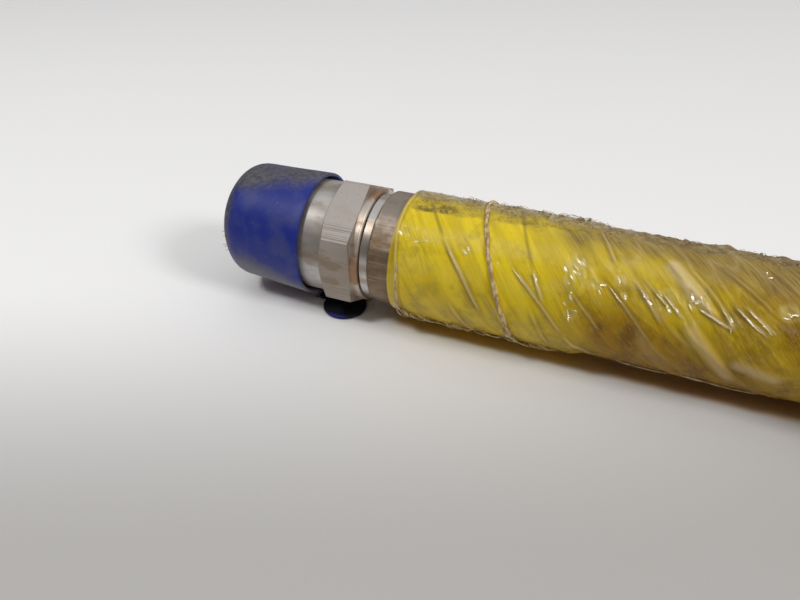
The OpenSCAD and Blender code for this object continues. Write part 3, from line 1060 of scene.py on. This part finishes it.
def pleats(run, angle):
    """Height, tan and dark of the pleats at points on the unrolled film."""
    x, across = WRAP_X + run, UNROLLED_R * angle
    height, tan, dark = (np.zeros(len(run)) for _ in range(3))
    t = np.linspace(0, 1, 40)
    full_between_ends = np.minimum(1, 5 * np.minimum(t + 0.04, 1.04 - t))
    for (x0, a0), (x1, a1), bow, tall, wide, its_tan, its_dark in FOLDS:
        fold_x = x0 + (x1 - x0) * t + bow * np.sin(math.pi * t)
        fold_y = UNROLLED_R * np.radians(a0 + (a1 - a0) * t)
        near = np.flatnonzero((x > x0 - 6) & (x < x1 + 6))
        gap = np.hypot(x[near, None] - fold_x, across[near, None] - fold_y)
        best = gap.argmin(axis=1)
        gap = gap[np.arange(len(best)), best]
        strength = full_between_ends[best]
        ridge = strength * bell(gap, wide)
        if its_tan < SUNK_UNDER:
            side = strength * bell(gap, 0.5)
            height[near] -= tall * ridge
        else:
            side = strength * bell(gap - 1.3 * wide, max(0.45, 0.45 * wide))
            height[near] += tall * (ridge - 0.35 * side)
        tan[near] = np.maximum(tan[near], its_tan * ridge)
        # dark is painted shade in the grooves beside a pleat, partly dirt caught there
        dark[near] = np.maximum(dark[near], its_dark * side)
    return height, tan, dark


def crushed(run, angle):
    """How strongly the film is crushed at each point, in mm of height."""
    x, across = WRAP_X + run, UNROLLED_R * angle
    amount = np.zeros(len(run))
    for (cx, ca), radius, tall in CRUMPLES:
        gap = np.hypot(x - cx, across - UNROLLED_R * math.radians(ca))
        amount = np.maximum(amount, tall * bell(gap, radius))
    return amount


# %% [markdown]
# One function says how high the film stands at a point and how it looks there. The
# looks go with the mesh as attributes, a number from 0 to 1 at each point: tan
# where layers lie together, dark beside the folds, partly painted shade in their
# grooves and partly dirt, and in a line behind the film's edge, band for the olive
# band high up, crest for the dust on top, haze, amber where the film is old and
# thick and, on the lower side, also painted shade, and crush where it is crumpled.

# %% Film shape
def film_shape(run, angle):
    """Height of the film over its plain tube, and a dict of how it looks there."""

    def patches(turn, along, across, seed):
        return lattice_noise(on_turns(run, angle, turn, along, across), seed)

    near_end = np.minimum(run, WRAP_LENGTH - run)
    degrees = np.degrees(angle)
    slow = patches(110, 45, 14, seed=3)
    folds = ridges(patches(130, 28, 7.5, seed=5), 10)
    lines = ridges(patches(150, 24, 4.0, seed=8), 14)
    crumple = patches(100, 2.4, 1.6, seed=11) + 0.6 * patches(100, 1.3, 1.1, seed=13)
    wrinkle = patches(100, 7, 2.2, seed=12)
    rough = smooth(near_end, 48, 80)
    crush = crushed(run, angle)
    tall, tan, dark = pleats(run, angle)
    lip = bell(near_end - 0.6, 0.4)
    # Where many layers were drawn tight, the folds stand closer and higher
    height = 0.2 * slow + (0.02 + 0.4 * rough) * folds + 0.3 * rough * lines - 0.1
    lumps = np.maximum(0, patches(NO_TURN, 4, 5, seed=25))
    height += 0.9 * lumps * smooth(degrees, 80, 100) * smooth(near_end, 30, 60)
    height += (0.03 + 0.12 * rough) * wrinkle + crush * crumple
    height = height * smooth(near_end, 0, 4) + tall * smooth(near_end, 0, 3) + 0.25 * lip
    # Grime: an olive band high up, dust on the crest, and amber layers far along. Low down the
    # amber is partly painted shade on the lower side
    on_top = 1 - smooth(degrees + 9 * patches(NO_TURN, 12, 8, seed=27), 122, 146)
    ragged = 1.5 * patches(NO_TURN, 4, 3, seed=21) + patches(NO_TURN, 1.2, 1, seed=22)
    band_edge = 72 + 0.22 * np.maximum(near_end - 13, 0) + ragged
    band = smooth(degrees, band_edge - 1, band_edge + 1.5) * smooth(near_end, 0.5, 4) * on_top
    band *= 1 - 0.9 * smooth(near_end, 52, 75)
    cloudy = patches(120, 30, 9, seed=31)
    haze = smooth(degrees + 14 * cloudy, 52, 80) * smooth(near_end, 40, 60)
    # Low down the film is browner: partly old film, partly painted shade on its lower side
    below = smooth(-degrees, -55, 25)
    amber = smooth(near_end, 45, 85) * (0.6 + 0.4 * below) + 0.25 * below
    creased = 0.4 * rough * np.maximum(folds, 0.8 * lines)
    looks = {
        "tan": np.maximum.reduce([tan, 0.75 * lip, creased]),
        "dark": np.maximum(dark, 0.7 * bell(near_end - 1.4, 0.4)),
        "band": band * (0.75 + 0.6 * patches(NO_TURN, 7, 3, seed=24)),
        "crest": smooth(degrees + 3 * ragged, 85, 96) * on_top,
        "haze": haze * (0.4 + 0.6 * on_top),
        "amber": np.clip(amber * (1 + 0.7 * cloudy), 0, 1),
        "crush": np.clip(2.5 * crush + 0.25 * rough, 0, 1),
    }
    return height, looks


# %% [markdown]
# ## The look of yellow under film
#
# The sleeve is yellow PVC and the film over it is clear polythene. Real clear film
# in several layers isn't clear: it is whitish where it is stretched or bunched,
# olive and brown where dirt is caught in it, and its folds glint. One opaque
# surface shows all of that, and also exports to other programs. Its coat is the
# glossy outer layer of film. Its colour is laid in coats from the sleeve's yellow
# up to the tan folds, by the mesh's attributes and by noise. The fine wrinkles
# follow the turns: their noise reads places on the twisted cylinder, which are one
# more attribute, named turns.

# %% Film over yellow
LOOKS = ("tan", "dark", "band", "crest", "haze", "amber", "crush")


def film_over_yellow():
    material, shader, add = new_material(
        "ClearPolytheneFilm_OverYellowPVC", IOR=1.5, Specular_IOR_Level=0.1, Coat_IOR=1.5
    )
    place = add("TexCoord", output="Object")
    turns = add("Attribute", attribute_name="turns", output="Vector")
    tan, dark, band, crest, haze, amber, crush = (
        add("Attribute", attribute_name=name, output="Fac") for name in LOOKS
    )
    # On the turns a scale of 1 is patches of 10 mm by 1.5. The dirt's patches are
    # 8 mm wide, its blots 2.4 mm and its grit 0.8 mm
    cloudy = add("TexNoise", turns, 0.3, 3.0, 0.55)
    streaks = add("TexNoise", turns, 1.6, 3.0, 0.6)
    threads = add("TexNoise", turns, 5.0, 2.0, 0.6)
    patches = add("TexNoise", place, 130, 4.0, 0.6)
    blots = add("TexNoise", place, 420, 3.0, 0.6)
    grit = add("TexNoise", place, 1300, 3.0, 0.7)
    # The sleeve's yellow is deeper where the film lies close on it
    yellow = add("Mix", add("MapRange", cloudy, 0.38, 0.62), "#F6DA0C", "#E2C404")
    brown = add("Mix", add("MapRange", patches, 0.4, 0.62), "#A07404", "#7A4C08")
    # Crumples are pale, partly the whitening of crushed film and partly a painted sheen round
    # their glints, and stretched film has thin whitish and dark lines
    creasy = add("MapRange", patches, 0.35, 0.6, 0.2, 0.6)
    creasy = add("Clamp", add("Math", creasy, add("Math", crush, 1.2), operation="ADD"))
    pale_lines = add("Math", add("MapRange", threads, 0.54, 0.66), creasy)
    dark_lines = add("Math", add("MapRange", threads, 0.45, 0.34), creasy)
    # High up, dirt: brown haze, the olive band with grit in it, and dust on the crest
    hazed = add("Mix", add("MapRange", streaks, 0.42, 0.58), "#9C8548", "#7B6534")
    olive = add("Mix", add("MapRange", blots, 0.4, 0.6), "#85701A", "#BFA62C")
    olive = add("Mix", add("MapRange", grit, 0.5, 0.68), olive, "#5E4C1E")
    far = add("MapRange", add("SeparateXYZ", place, output="X"), 95 * MM, 125 * MM)
    pale_dust = add("Mix", far, "#BFAE7C", "#9A8558")
    dark_dust = add("Mix", far, "#99834C", "#78623A")
    dusty = add("Mix", add("MapRange", blots, 0.35, 0.6), pale_dust, dark_dust)
    dusty = add("Mix", add("MapRange", grit, 0.52, 0.68), dusty, "#5A4630")
    colour = coats(
        add,
        yellow,
        (add("MapRange", patches, 0.5, 0.66, 0.0, 0.4), "#A88E14"),
        (add("MapRange", streaks, 0.56, 0.75, 0.0, 0.2), "#DDCB6A"),
        (add("Math", amber, 0.92), brown),
        # Pale crumples: whitening, and a painted sheen round the glints
        (add("MapRange", crush, 0.55, 1.0, 0.0, 0.4), "#E0CF7C"),
        (add("Math", pale_lines, 0.5), "#CFBA6E"),
        (add("Math", dark_lines, 0.45), "#7D641A"),
        (add("Math", haze, 0.8), hazed),
        (add("Math", band, 0.85), olive),
        (add("Math", crest, 0.85), dusty),
        # Painted shade in the grooves beside folds, partly dirt, and a dark line behind the film's
        # edge
        (add("Math", dark, 0.7), "#6E5424"),
        (add("MapRange", tan, 0.1, 0.9, 0.0, 0.8), "#DCC48E"),
    )
    # The coat is creased where the film is crumpled, and finely wrinkled elsewhere
    fine = add("TexNoise", turns, 4.0, 2.0)
    wrinkles = add("Mix", 0.35, streaks, fine, data_type="FLOAT")
    creases = add(
        "TexNoise", turns, 1.1, 3.0, 0.5, noise_type="RIDGED_MULTIFRACTAL", normalize=True
    )
    flakes = add("Mix", 0.5, creases, add("TexNoise", place, 800, 2.0), data_type="FLOAT")
    crumpled = add("Mix", add("Math", crush, 0.8), wrinkles, flakes, data_type="FLOAT")
    wire(
        shader,
        Base_Color=colour,
        Roughness=add("MapRange", streaks, 0.35, 0.65, 0.4, 0.55),
        Normal=add("Bump", Strength=0.6, Distance=0.25 * MM, Height=wrinkles),
        Coat_Weight=add("MapRange", amber, 0.2, 0.9, 0.7, 0.35),
        Coat_Roughness=add("MapRange", patches, 0.35, 0.65, 0.04, 0.1),
        Coat_Normal=add("Bump", Strength=1.0, Distance=0.7 * MM, Height=crumpled),
    )
    return material


FILM = film_over_yellow()
print("finish", FILM.name)

# %% [markdown]
# The film is a fine sheet near the fitting and a coarser one beyond it, so that
# the small folds have enough points where they are looked at. Both follow the same
# function and meet without a step.

# %% Film pieces
FRONT_AT = 63  # degrees up, where the film's edge comes furthest forward


def film_piece(name, start, end, step, around, replaced=()):
    line, stops, whole = wrap_line(step, start, end)
    shades = {}

    def shape(column, angle):
        height, looks = film_shape(stops[column], angle)
        shades.update(looks)
        return height

    bm, column, angle = rolled_sheet(line, film_radius(stops, whole), around, shape)
    # The film's edge lies a little behind the sleeve's, and further low down
    turned_from = (np.degrees(angle) - FRONT_AT + 180) % 360 - 180
    setback = 0.6 + 3.2 * smooth(-turned_from, 0, 85) + 3.2 * smooth(turned_from, 60, 150)
    setback += 0.2 * np.sin(5 * angle) + 0.12 * np.sin(13 * angle)
    near_edge = 1 - smooth(np.minimum(stops, whole - stops)[column], 0, 14)
    shift = setback * near_edge * MM
    layers = {key: bm.verts.layers.float.new(key) for key in LOOKS}
    turns = bm.verts.layers.float_vector.new("turns")
    places = on_turns(stops[column], angle, 100, 10, 1.5)
    for i, vertex in enumerate(bm.verts):
        vertex.co.x += shift[i]
        vertex[turns] = places[i]
        for key, layer in layers.items():
            vertex[layer] = shades[key][i]
    tidy_normals(bm, 0.002)
    return put(name, to_mesh(bm, name, 180), FILM, "hose", replaced)


NEAR_LENGTH = 118
film_near = film_piece("film_near_piece", 0, NEAR_LENGTH, 0.45, 352, ["clear_film"])
film_run = film_piece("film_run_piece", NEAR_LENGTH, None, 3.0, 128)

# %% [markdown]
# ## The yellow sleeve
#
# Only a narrow rim of the sleeve shows, outside the film's edge. It is a plain
# tube just inside the film, in the same yellow without the dirt. It is extruded
# PVC, smooth and a little waxy.

# %% Sleeve
line, stops, whole = wrap_line(3.0)
bm, _, _ = rolled_sheet(line, film_radius(stops, whole) - 0.75, 96)
tidy_normals(bm, 0.002)
YELLOW_PVC = mottled(
    "PVC_ExtrudedYellow",
    "#DCC21C",
    "#CBAE20",
    200,
    edges=(0.4, 0.65),
    depth=0.1,
    strength=0.4,
    Roughness=0.4,
    IOR=1.53,
)
sleeve_mesh = to_mesh(bm, "sleeve")
sleeve = put("sleeve_piece", sleeve_mesh, YELLOW_PVC, "hose", ["yellow_sleeve"])

# %% [markdown]
# ## The twisted strand
#
# A strip of film has been twisted into a strand and goes once round the wrapping,
# on a slant. Two plies wind round each other, as in string, and each ply is a thin
# tube along its own helix. Twisted film is whitish, with dirt in its folds.

# %% Strand
TIE_X, TIE_SLANT, TIE_HIGH_AT = 79.2, 8.8, 25
PLY_R, PLY_OUT, PLY_TWIST = 0.46, 0.34, 19.0


def strand_line(ply, steps=360):
    """One ply of the strand: a helix wound about a slanted ring round the X axis."""
    line = []
    for i in range(steps + 1):
        angle = math.tau * i / steps - math.pi
        along = UNROLLED_R * angle / PLY_TWIST * math.tau + ply * math.pi
        lift = FILM_FERRULE_R + 0.15 + PLY_OUT * math.cos(along)
        slant = TIE_SLANT * math.sin(angle - math.radians(TIE_HIGH_AT))
        x = TIE_X - slant + PLY_OUT * math.sin(along)
        line.append((x, -lift * math.cos(angle), lift * math.sin(angle)))
    return line


STRAND_FILM = mottled(
    "PolytheneFilm_TwistedDirty",
    "#DEC596",
    "#A88B5E",
    500,
    edges=(0.4, 0.62),
    depth=0.2,
    strength=0.8,
    Roughness=0.45,
    IOR=1.5,
)
tie_mesh = tube_along("tie", [strand_line(ply) for ply in (0, 1)], PLY_R, 2)
ties = at_both_ends("tie", tie_mesh, STRAND_FILM, "hose")

# %% [markdown]
# ## Burrs, lint and crumbs
#
# Crumbs and short hairs stick to the top of the wrapping and lie under its lower
# side, and the near cap's rounded edge has a few burrs where it was rubbed. The
# crumbs and hairs are scattered with a fixed seed, so every run gives the same
# ones. Each carries a shade from dark to light in the attribute "shade". Grit and
# lint are quite matt.

# %% Dust finish
def dust_and_fibre():
    material, shader, add = new_material("Dust_FibresAndGrit", Roughness=0.85)
    shade = add("Attribute", attribute_name="shade", output="Fac")
    wire(shader, Base_Color=add("Mix", shade, "#4A3826", "#CDBB97"))
    return material


DUST = dust_and_fibre()
luck = random.Random(41)


def on_wrap(x, degrees, lift):
    """A place over the wrapping: along X, degrees up from the side, and mm off it."""
    radius = float(film_radius(np.array([x - WRAP_X]), WRAP_LENGTH)[0]) + lift
    angle = math.radians(degrees)
    return Vector((x, -radius * math.cos(angle), radius * math.sin(angle)))


def hair(x, degrees, length, lift):
    """A line that wanders over the wrapping and rises a little off it."""
    heading = luck.uniform(0, math.tau)
    step = length / 4
    line = []
    for i in range(5):
        line.append(on_wrap(x, degrees, -0.1 + lift * math.sin(0.2 * math.pi * i)))
        heading += math.radians(luck.uniform(-25, 25))
        x += step * math.cos(heading)
        degrees += math.degrees(step * math.sin(heading) / UNROLLED_R)
    return line


def shade_mesh(mesh, shades):
    """Writes one shade a point into the attribute that the dust finish reads."""
    mesh.attributes.new("shade", "FLOAT", "POINT").data.foreach_set("value", shades)


print("finish", DUST.name)

# %% Burrs
# Each row: degrees up from the side, and length in mm
BURRS = [(9, 0.9), (3, 0.7), (-9, 1.4), (-12, 1.0), (-18, 1.3)]
BURR_X, BURR_R = CAP_X + 1.2, 17.4  # on the rounded edge of the cap's end


def burr_mesh():
    """Short dark whiskers of plastic that stand off the near cap's end."""
    lines = []
    for degrees, long in BURRS:
        angle = math.radians(degrees)
        start = Vector((BURR_X, -BURR_R * math.cos(angle), BURR_R * math.sin(angle) + LEAN))
        tip = start + Vector((-0.9, -0.4, -0.2)) * long
        lines.append([start, (start + tip) / 2 + Vector((0, 0, -0.15)), tip])
    mesh = tube_along("burrs", lines, 0.08, 0)
    shade_mesh(mesh, [0.1] * len(mesh.vertices))
    return mesh


put("cap_burrs_piece", burr_mesh(), DUST, "cap_a")

# %% Crumbs and hairs
# Each row: how many, X range, degree range, size range in mm, and shades of crumbs
CRUMBS = [
    (240, (52, 172), (82, 120), (0.12, 0.32), (0.2, 0.9)),
    (10, (99, 103), (104, 116), (0.4, 0.7), (0.3, 0.6)),
    (6, (78, 81), (104, 116), (0.25, 0.45), (0.3, 0.6)),
    (16, (118, 150), (100, 118), (0.4, 0.8), (0.1, 0.6)),
    (5, (153, 156), (104, 116), (0.3, 0.6), (0.1, 0.4)),
    (90, (50, 170), (-58, -40), (0.12, 0.3), (0.3, 1.0)),
]
HAIRS = [
    (150, (60, 172), (90, 120), (1.0, 4.0)),
    (40, (76, 100), (96, 120), (2.0, 5.0)),
    (90, (48, 165), (-60, -34), (1.5, 4.0)),
]


def crumb_mesh():
    bm = bmesh.new()
    shades = []
    lift = (-0.1, 0.15)  # mm off the wrapping
    for count, xs, degrees, sizes, tones in CRUMBS:
        for _ in range(count):
            size = luck.uniform(*sizes) * MM
            made = bmesh.ops.create_icosphere(bm, subdivisions=1, radius=size)["verts"]
            shades += [luck.uniform(*tones)] * len(made)
            place = on_wrap(luck.uniform(*xs), luck.uniform(*degrees), luck.uniform(*lift)) * MM
            for vertex in made:
                vertex.co *= luck.uniform(0.6, 1.3)
                vertex.co += place
    mesh = to_mesh(bm, "crumbs", 70)
    shade_mesh(mesh, shades)
    return mesh


def hair_mesh():
    lines = []
    for count, xs, degrees, lengths in HAIRS:
        for _ in range(count):
            lift = luck.uniform(0.1, 0.9)
            start = luck.uniform(*xs), luck.uniform(*degrees)
            lines.append(hair(*start, luck.uniform(*lengths), lift))
    mesh = tube_along("hairs", lines, 0.06, 0)
    # Shades that change every millimetre or so along X
    shade_mesh(mesh, [0.5 + 0.3 * math.sin(9 * v.co.x / MM) for v in mesh.vertices])
    return mesh


crumbs = put("crumbs_piece", crumb_mesh(), DUST, "hose")
hairs = put("hairs_piece", hair_mesh(), DUST, "hose")

# %% [markdown]
# Film that was pulled together stands off in loose twisted bits under the front
# edge and along the lower side. The large ones are placed, and the small ones are
# scattered. Each large one is three thin tubes that wave side by side.

# %% Gathered film
# Start and end as (distance along X in mm, degrees up), then the wave's width and
# how far it stands off, in mm
GATHERS = [
    ((47.6, 20), (48.2, -46), 0.15, 0.15),
    ((47.2, -12), (50.5, -52), 0.3, 0.7),
    ((46.8, -22), (49.0, -56), 0.3, 0.9),
    ((48.5, -28), (54.5, -54), 0.35, 0.7),
    ((50.0, -40), (58.0, -55), 0.4, 0.5),
    ((58.0, -44), (70.0, -56), 0.4, 0.4),
    ((84.0, -24), (92.0, -54), 0.4, 0.5),
    ((86.0, -30), (95.5, -58), 0.4, 1.0),
    ((120.0, -44), (136.0, -52), 0.6, 0.4),
    ((140.0, -40), (160.0, -50), 0.8, 0.4),
]


def gather_line(start, end, wave, lift):
    """A loose twisted bit of film from one (x, degrees) to another."""
    line = []
    phase = luck.uniform(0, math.tau)
    for i in range(25):
        t = i / 24
        x = start[0] + (end[0] - start[0]) * t + wave * math.sin(9 * t + phase)
        degrees = start[1] + (end[1] - start[1]) * t + 2.5 * wave * math.sin(14 * t + phase)
        line.append(on_wrap(x, degrees, 0.1 + lift * math.sin(math.pi * t) ** 0.5))
    return line


bits = [gather_line(*row) for row in GATHERS for _ in range(3)]
for _ in range(26):
    x, degrees = luck.uniform(47, 98), luck.uniform(-48, -34)
    end = (x + luck.uniform(2, 7), degrees - luck.uniform(4, 16))
    bits.append(gather_line((x, degrees), end, luck.uniform(0.3, 0.6), luck.uniform(0.3, 0.9)))
LOOSE_FILM = mottled(
    "PolytheneFilm_Loose", "#DCCDA6", "#A98E5C", 400, edges=(0.4, 0.62), Roughness=0.3, IOR=1.5
)
gather = put("film_gather_piece", tube_along("gather", bits, 0.17, 1), LOOSE_FILM, "hose")

# %% [markdown]
# Creases in film end in small flat facets that mirror a lamp as sharp white
# glints. They sit where film is creased: on the crests of the large folds, where a
# crest passes the part of the tube that faces the lamp, and all over the crumples.
# Each glint is a row of tiny wedges of film, every one tilted halfway between the
# lamp and a viewer in front, give or take a few degrees.

# %% Glint places
LAMP_PLACE = Vector((-0.37, -0.42, 0.87))
VIEWER_PLACE = Vector((0.12, -0.19, 0.13))
LIT_FROM, LIT_TO = 41, 27  # degrees up, where the tube mirrors the lamp
GLINTS_A_CRUMPLE = 2.8  # for each square millimetre of radius times height
# Degrees from +X that creases run in: most follow the turns, down and a little along
CREASE_WAYS = (-68, -60, -52, -38, 14)
WIDE_ON_FOLDS, WIDE_ON_CRUMPLES = (0.25, 0.55), (0.4, 1.0)  # mm


def fold_glints():
    """Start, end and width of a glint on each pale fold that passes the lit part."""
    rows = []
    for (x0, a0), (x1, a1), bow, _, _, its_tan, _ in FOLDS:
        if its_tan < 0.5:
            continue
        ends = []
        for lit in (LIT_FROM, LIT_TO):
            t = min(max((a0 - lit) / (a0 - a1), 0), 1)
            ends.append((x0 + (x1 - x0) * t + bow * math.sin(math.pi * t), a0 + (a1 - a0) * t))
        if ends[0] != ends[1]:
            rows.append((*ends, luck.uniform(*WIDE_ON_FOLDS)))
    return rows


def crumple_glints():
    """Start, end and width of short glints scattered over each crumple."""
    rows = []
    for (x, degrees), radius, tall in CRUMPLES:
        for _ in range(max(1, round(GLINTS_A_CRUMPLE * radius * tall))):
            start_x = x + luck.gauss(0, 0.42) * radius
            start = degrees + math.degrees(luck.gauss(0, 0.42) * radius / UNROLLED_R)
            way = math.radians(luck.choice(CREASE_WAYS) + luck.gauss(0, 8))
            length = luck.uniform(0.5, 1.3) * math.sqrt(radius)
            end_x = start_x + length * math.cos(way)
            end = start + math.degrees(length * math.sin(way) / UNROLLED_R)
            rows.append(((start_x, start), (end_x, end), luck.uniform(*WIDE_ON_CRUMPLES)))
    return rows


# %% Glints
WEDGE_EVERY, WEDGE_LONG, WEDGE_DEEP, WEDGE_OUT = 0.5, 0.34, 0.35, 0.15  # mm


def film_height(x, degrees):
    run, angle = np.array([x - WRAP_X]), np.array([math.radians(degrees)])
    return float(film_shape(run, angle)[0][0])


def wedge(bm, centre, along, across, depth):
    """A four-sided facet whose faces run down to a point inside the film."""
    shape = ((-1, -0.6), (0.2, -1), (1, 0.5), (-0.3, 1))
    top = [bm.verts.new(centre + along * i + across * j) for i, j in shape]
    foot = bm.verts.new(centre - depth)
    bm.faces.new(top)
    for a, b in zip(top, top[1:] + top[:1]):
        bm.faces.new((b, a, foot))


def glint_mesh():
    bm = bmesh.new()
    for (x0, a0), (x1, a1), wide in fold_glints() + crumple_glints():
        run = on_wrap(x1, a1, 0) - on_wrap(x0, a0, 0)
        count = max(2, round(run.length / WEDGE_EVERY))
        for i in range(count):
            t = (i + 0.5) / count
            x, degrees = x0 + (x1 - x0) * t, a0 + (a1 - a0) * t + luck.uniform(-0.4, 0.4)
            centre = on_wrap(x, degrees, film_height(x, degrees) + WEDGE_OUT) * MM
            to_lamp = (LAMP_PLACE - centre).normalized()
            to_viewer = (VIEWER_PLACE - centre).normalized()
            mirror = (to_lamp + to_viewer).normalized()
            mirror += Vector([luck.uniform(-0.06, 0.06) for _ in range(3)])
            mirror.normalize()
            along = (run - run.dot(mirror) * mirror).normalized()
            across = mirror.cross(along)
            half = wide / 2 * (0.3 + 0.6 * math.sin(math.pi * t)) * luck.uniform(0.5, 1.2)
            long, deep = along * WEDGE_LONG * MM, mirror * WEDGE_DEEP * MM
            wedge(bm, centre, long, across * half * MM, deep)
    bmesh.ops.recalc_face_normals(bm, faces=bm.faces)
    return to_mesh(bm, "glints", 0)


# The wedges' colour is painted pale: partly the whitening of creased film, partly a painted glint
# that shows where they don't mirror the lamp
BRIGHT_FILM = mottled(
    "PolytheneFilm_CreasedPaintedGlint", "#EFE2B0", "#C9B468", 900, 2.0, Roughness=0.15, IOR=1.5
)
glints = put("film_glints_piece", glint_mesh(), BRIGHT_FILM, "hose")

# %% [markdown]
# ## Wire and seals
#
# The lock wires and the O-rings are right as they come from the CAD model, so they
# keep their meshes and only get finishes. Drawn spring wire is bright all over, and
# moulded nitrile rubber is black with a dull bloom.

# %% Wire and seal finishes
def dress(names, material):
    """Gives CAD nodes a finish, by their material slots alone."""
    for name in names:
        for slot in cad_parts[name].material_slots:
            slot.material = material
    print(material.name, "on", ", ".join(names))


DRAWN_WIRE = mottled(
    "SpringSteel_Drawn", "#B9B7B4", "#8C8A86", 400, 2.0, Metallic=1.0, Roughness=0.25
)
NITRILE = mottled(
    "NitrileRubber_Moulded", "#141416", "#26262A", 600, depth=0.02, Roughness=0.42, IOR=1.52
)
dress(["lock_wire_a", "lock_wire_b"], DRAWN_WIRE)
dress(["nose_seal_a", "nose_seal_b"], NITRILE)


# %% [markdown]
# ## Floor and light
#
# The object lies on white paper. Its colour is painted darker towards the viewer
# and a little to the right, a painted shade where a room's light falls off, and
# painted warm brown right under the wrapping, a painted shadow. A small soft lamp
# in front and to the left gives the highlights on the steel and the glints in the
# film. A far one to the right throws the shadows softly to the left. Most of the
# light comes from a pale ceiling, and the surroundings below it are a dark warm
# brown, so that shadows close to the hose are dark and warm, and metal has something
# light and something dark to mirror.

# %% Floor
def pale_paper():
    material, shader, add = new_material("Paper_WhiteWithPaintedShade", Roughness=0.9)
    place = add("TexCoord", output="Object")
    x, y = (add("SeparateXYZ", place, output=axis) for axis in "XY")
    # The paper is painted darker towards the viewer, and a little to the right, as painted shade
    across = add("Math", add("Math", x, 0.4), add("Math", y, -1.0), operation="ADD")
    paper = add("Mix", add("MapRange", across, 0.0, 0.135), "#FFFFFF", "#BCBAB8")
    # A warm painted shadow lies on the paper right under the wrapping
    beside = add("MapRange", add("Math", y, operation="ABSOLUTE"), 14 * MM, 11 * MM)
    from_front = add("MapRange", x, 38 * MM, 48 * MM)
    under = add("Math", from_front, add("MapRange", x, 200 * MM, 170 * MM))
    tooth = add("TexNoise", place, 700, 3.0)  # the paper's tooth is 1.4 mm
    wire(
        shader,
        Base_Color=add("Mix", add("Math", beside, under), paper, "#E0CAB0"),
        Normal=add("Bump", Strength=0.3, Distance=0.15 * MM, Height=tooth),
    )
    return material


bm = bmesh.new()
bmesh.ops.create_grid(bm, x_segments=8, y_segments=8, size=3)
bmesh.ops.translate(bm, verts=bm.verts, vec=(0, 0, FLOOR_Z * MM))
floor_mesh = to_mesh(bm, "floor")
floor = bpy.data.objects.new("floor", floor_mesh)
floor_mesh.materials.append(pale_paper())
bpy.context.scene.collection.objects.link(floor)
print("floor at", FLOOR_Z, "mm")

# %% Lights
def lamp(name, place, size, power, target=(0.06, 0, 0)):
    """A square soft lamp at a place, turned to a target."""
    data = bpy.data.lights.new(name, "AREA")
    data.size = size
    data.energy = power
    made = bpy.data.objects.new(name, data)
    made.location = place
    made.rotation_euler = (Vector(target) - Vector(place)).to_track_quat("-Z", "Y").to_euler()
    bpy.context.scene.collection.objects.link(made)
    print(f"{name}: {power} W, {size} m")


lamp("front", LAMP_PLACE, 0.16, 3.0)
lamp("side", (1.6, -0.35, 1.25), 0.5, 14.0)

# %% Surroundings
world = bpy.data.worlds.new("studio")
world.use_nodes = True
bpy.context.scene.world = world
add = functools.partial(add_node, world.node_tree)
direction = add("TexCoord", output="Generated")
x, y, z = (add("SeparateXYZ", direction, output=axis) for axis in "XYZ")
# The pale ceiling reaches lower behind the object and to its right
leaning = add("Math", add("Math", y, 0.35), z, operation="ADD")
leaning = add("Math", add("Math", x, 0.15), leaning, operation="ADD")
ceiling = add("Mix", add("MapRange", leaning, 0.45, 0.72), "#524237", "#F6F6F6")
wire(world.node_tree.nodes["Background"], Color=ceiling, Strength=0.68)
print("world", world.name)
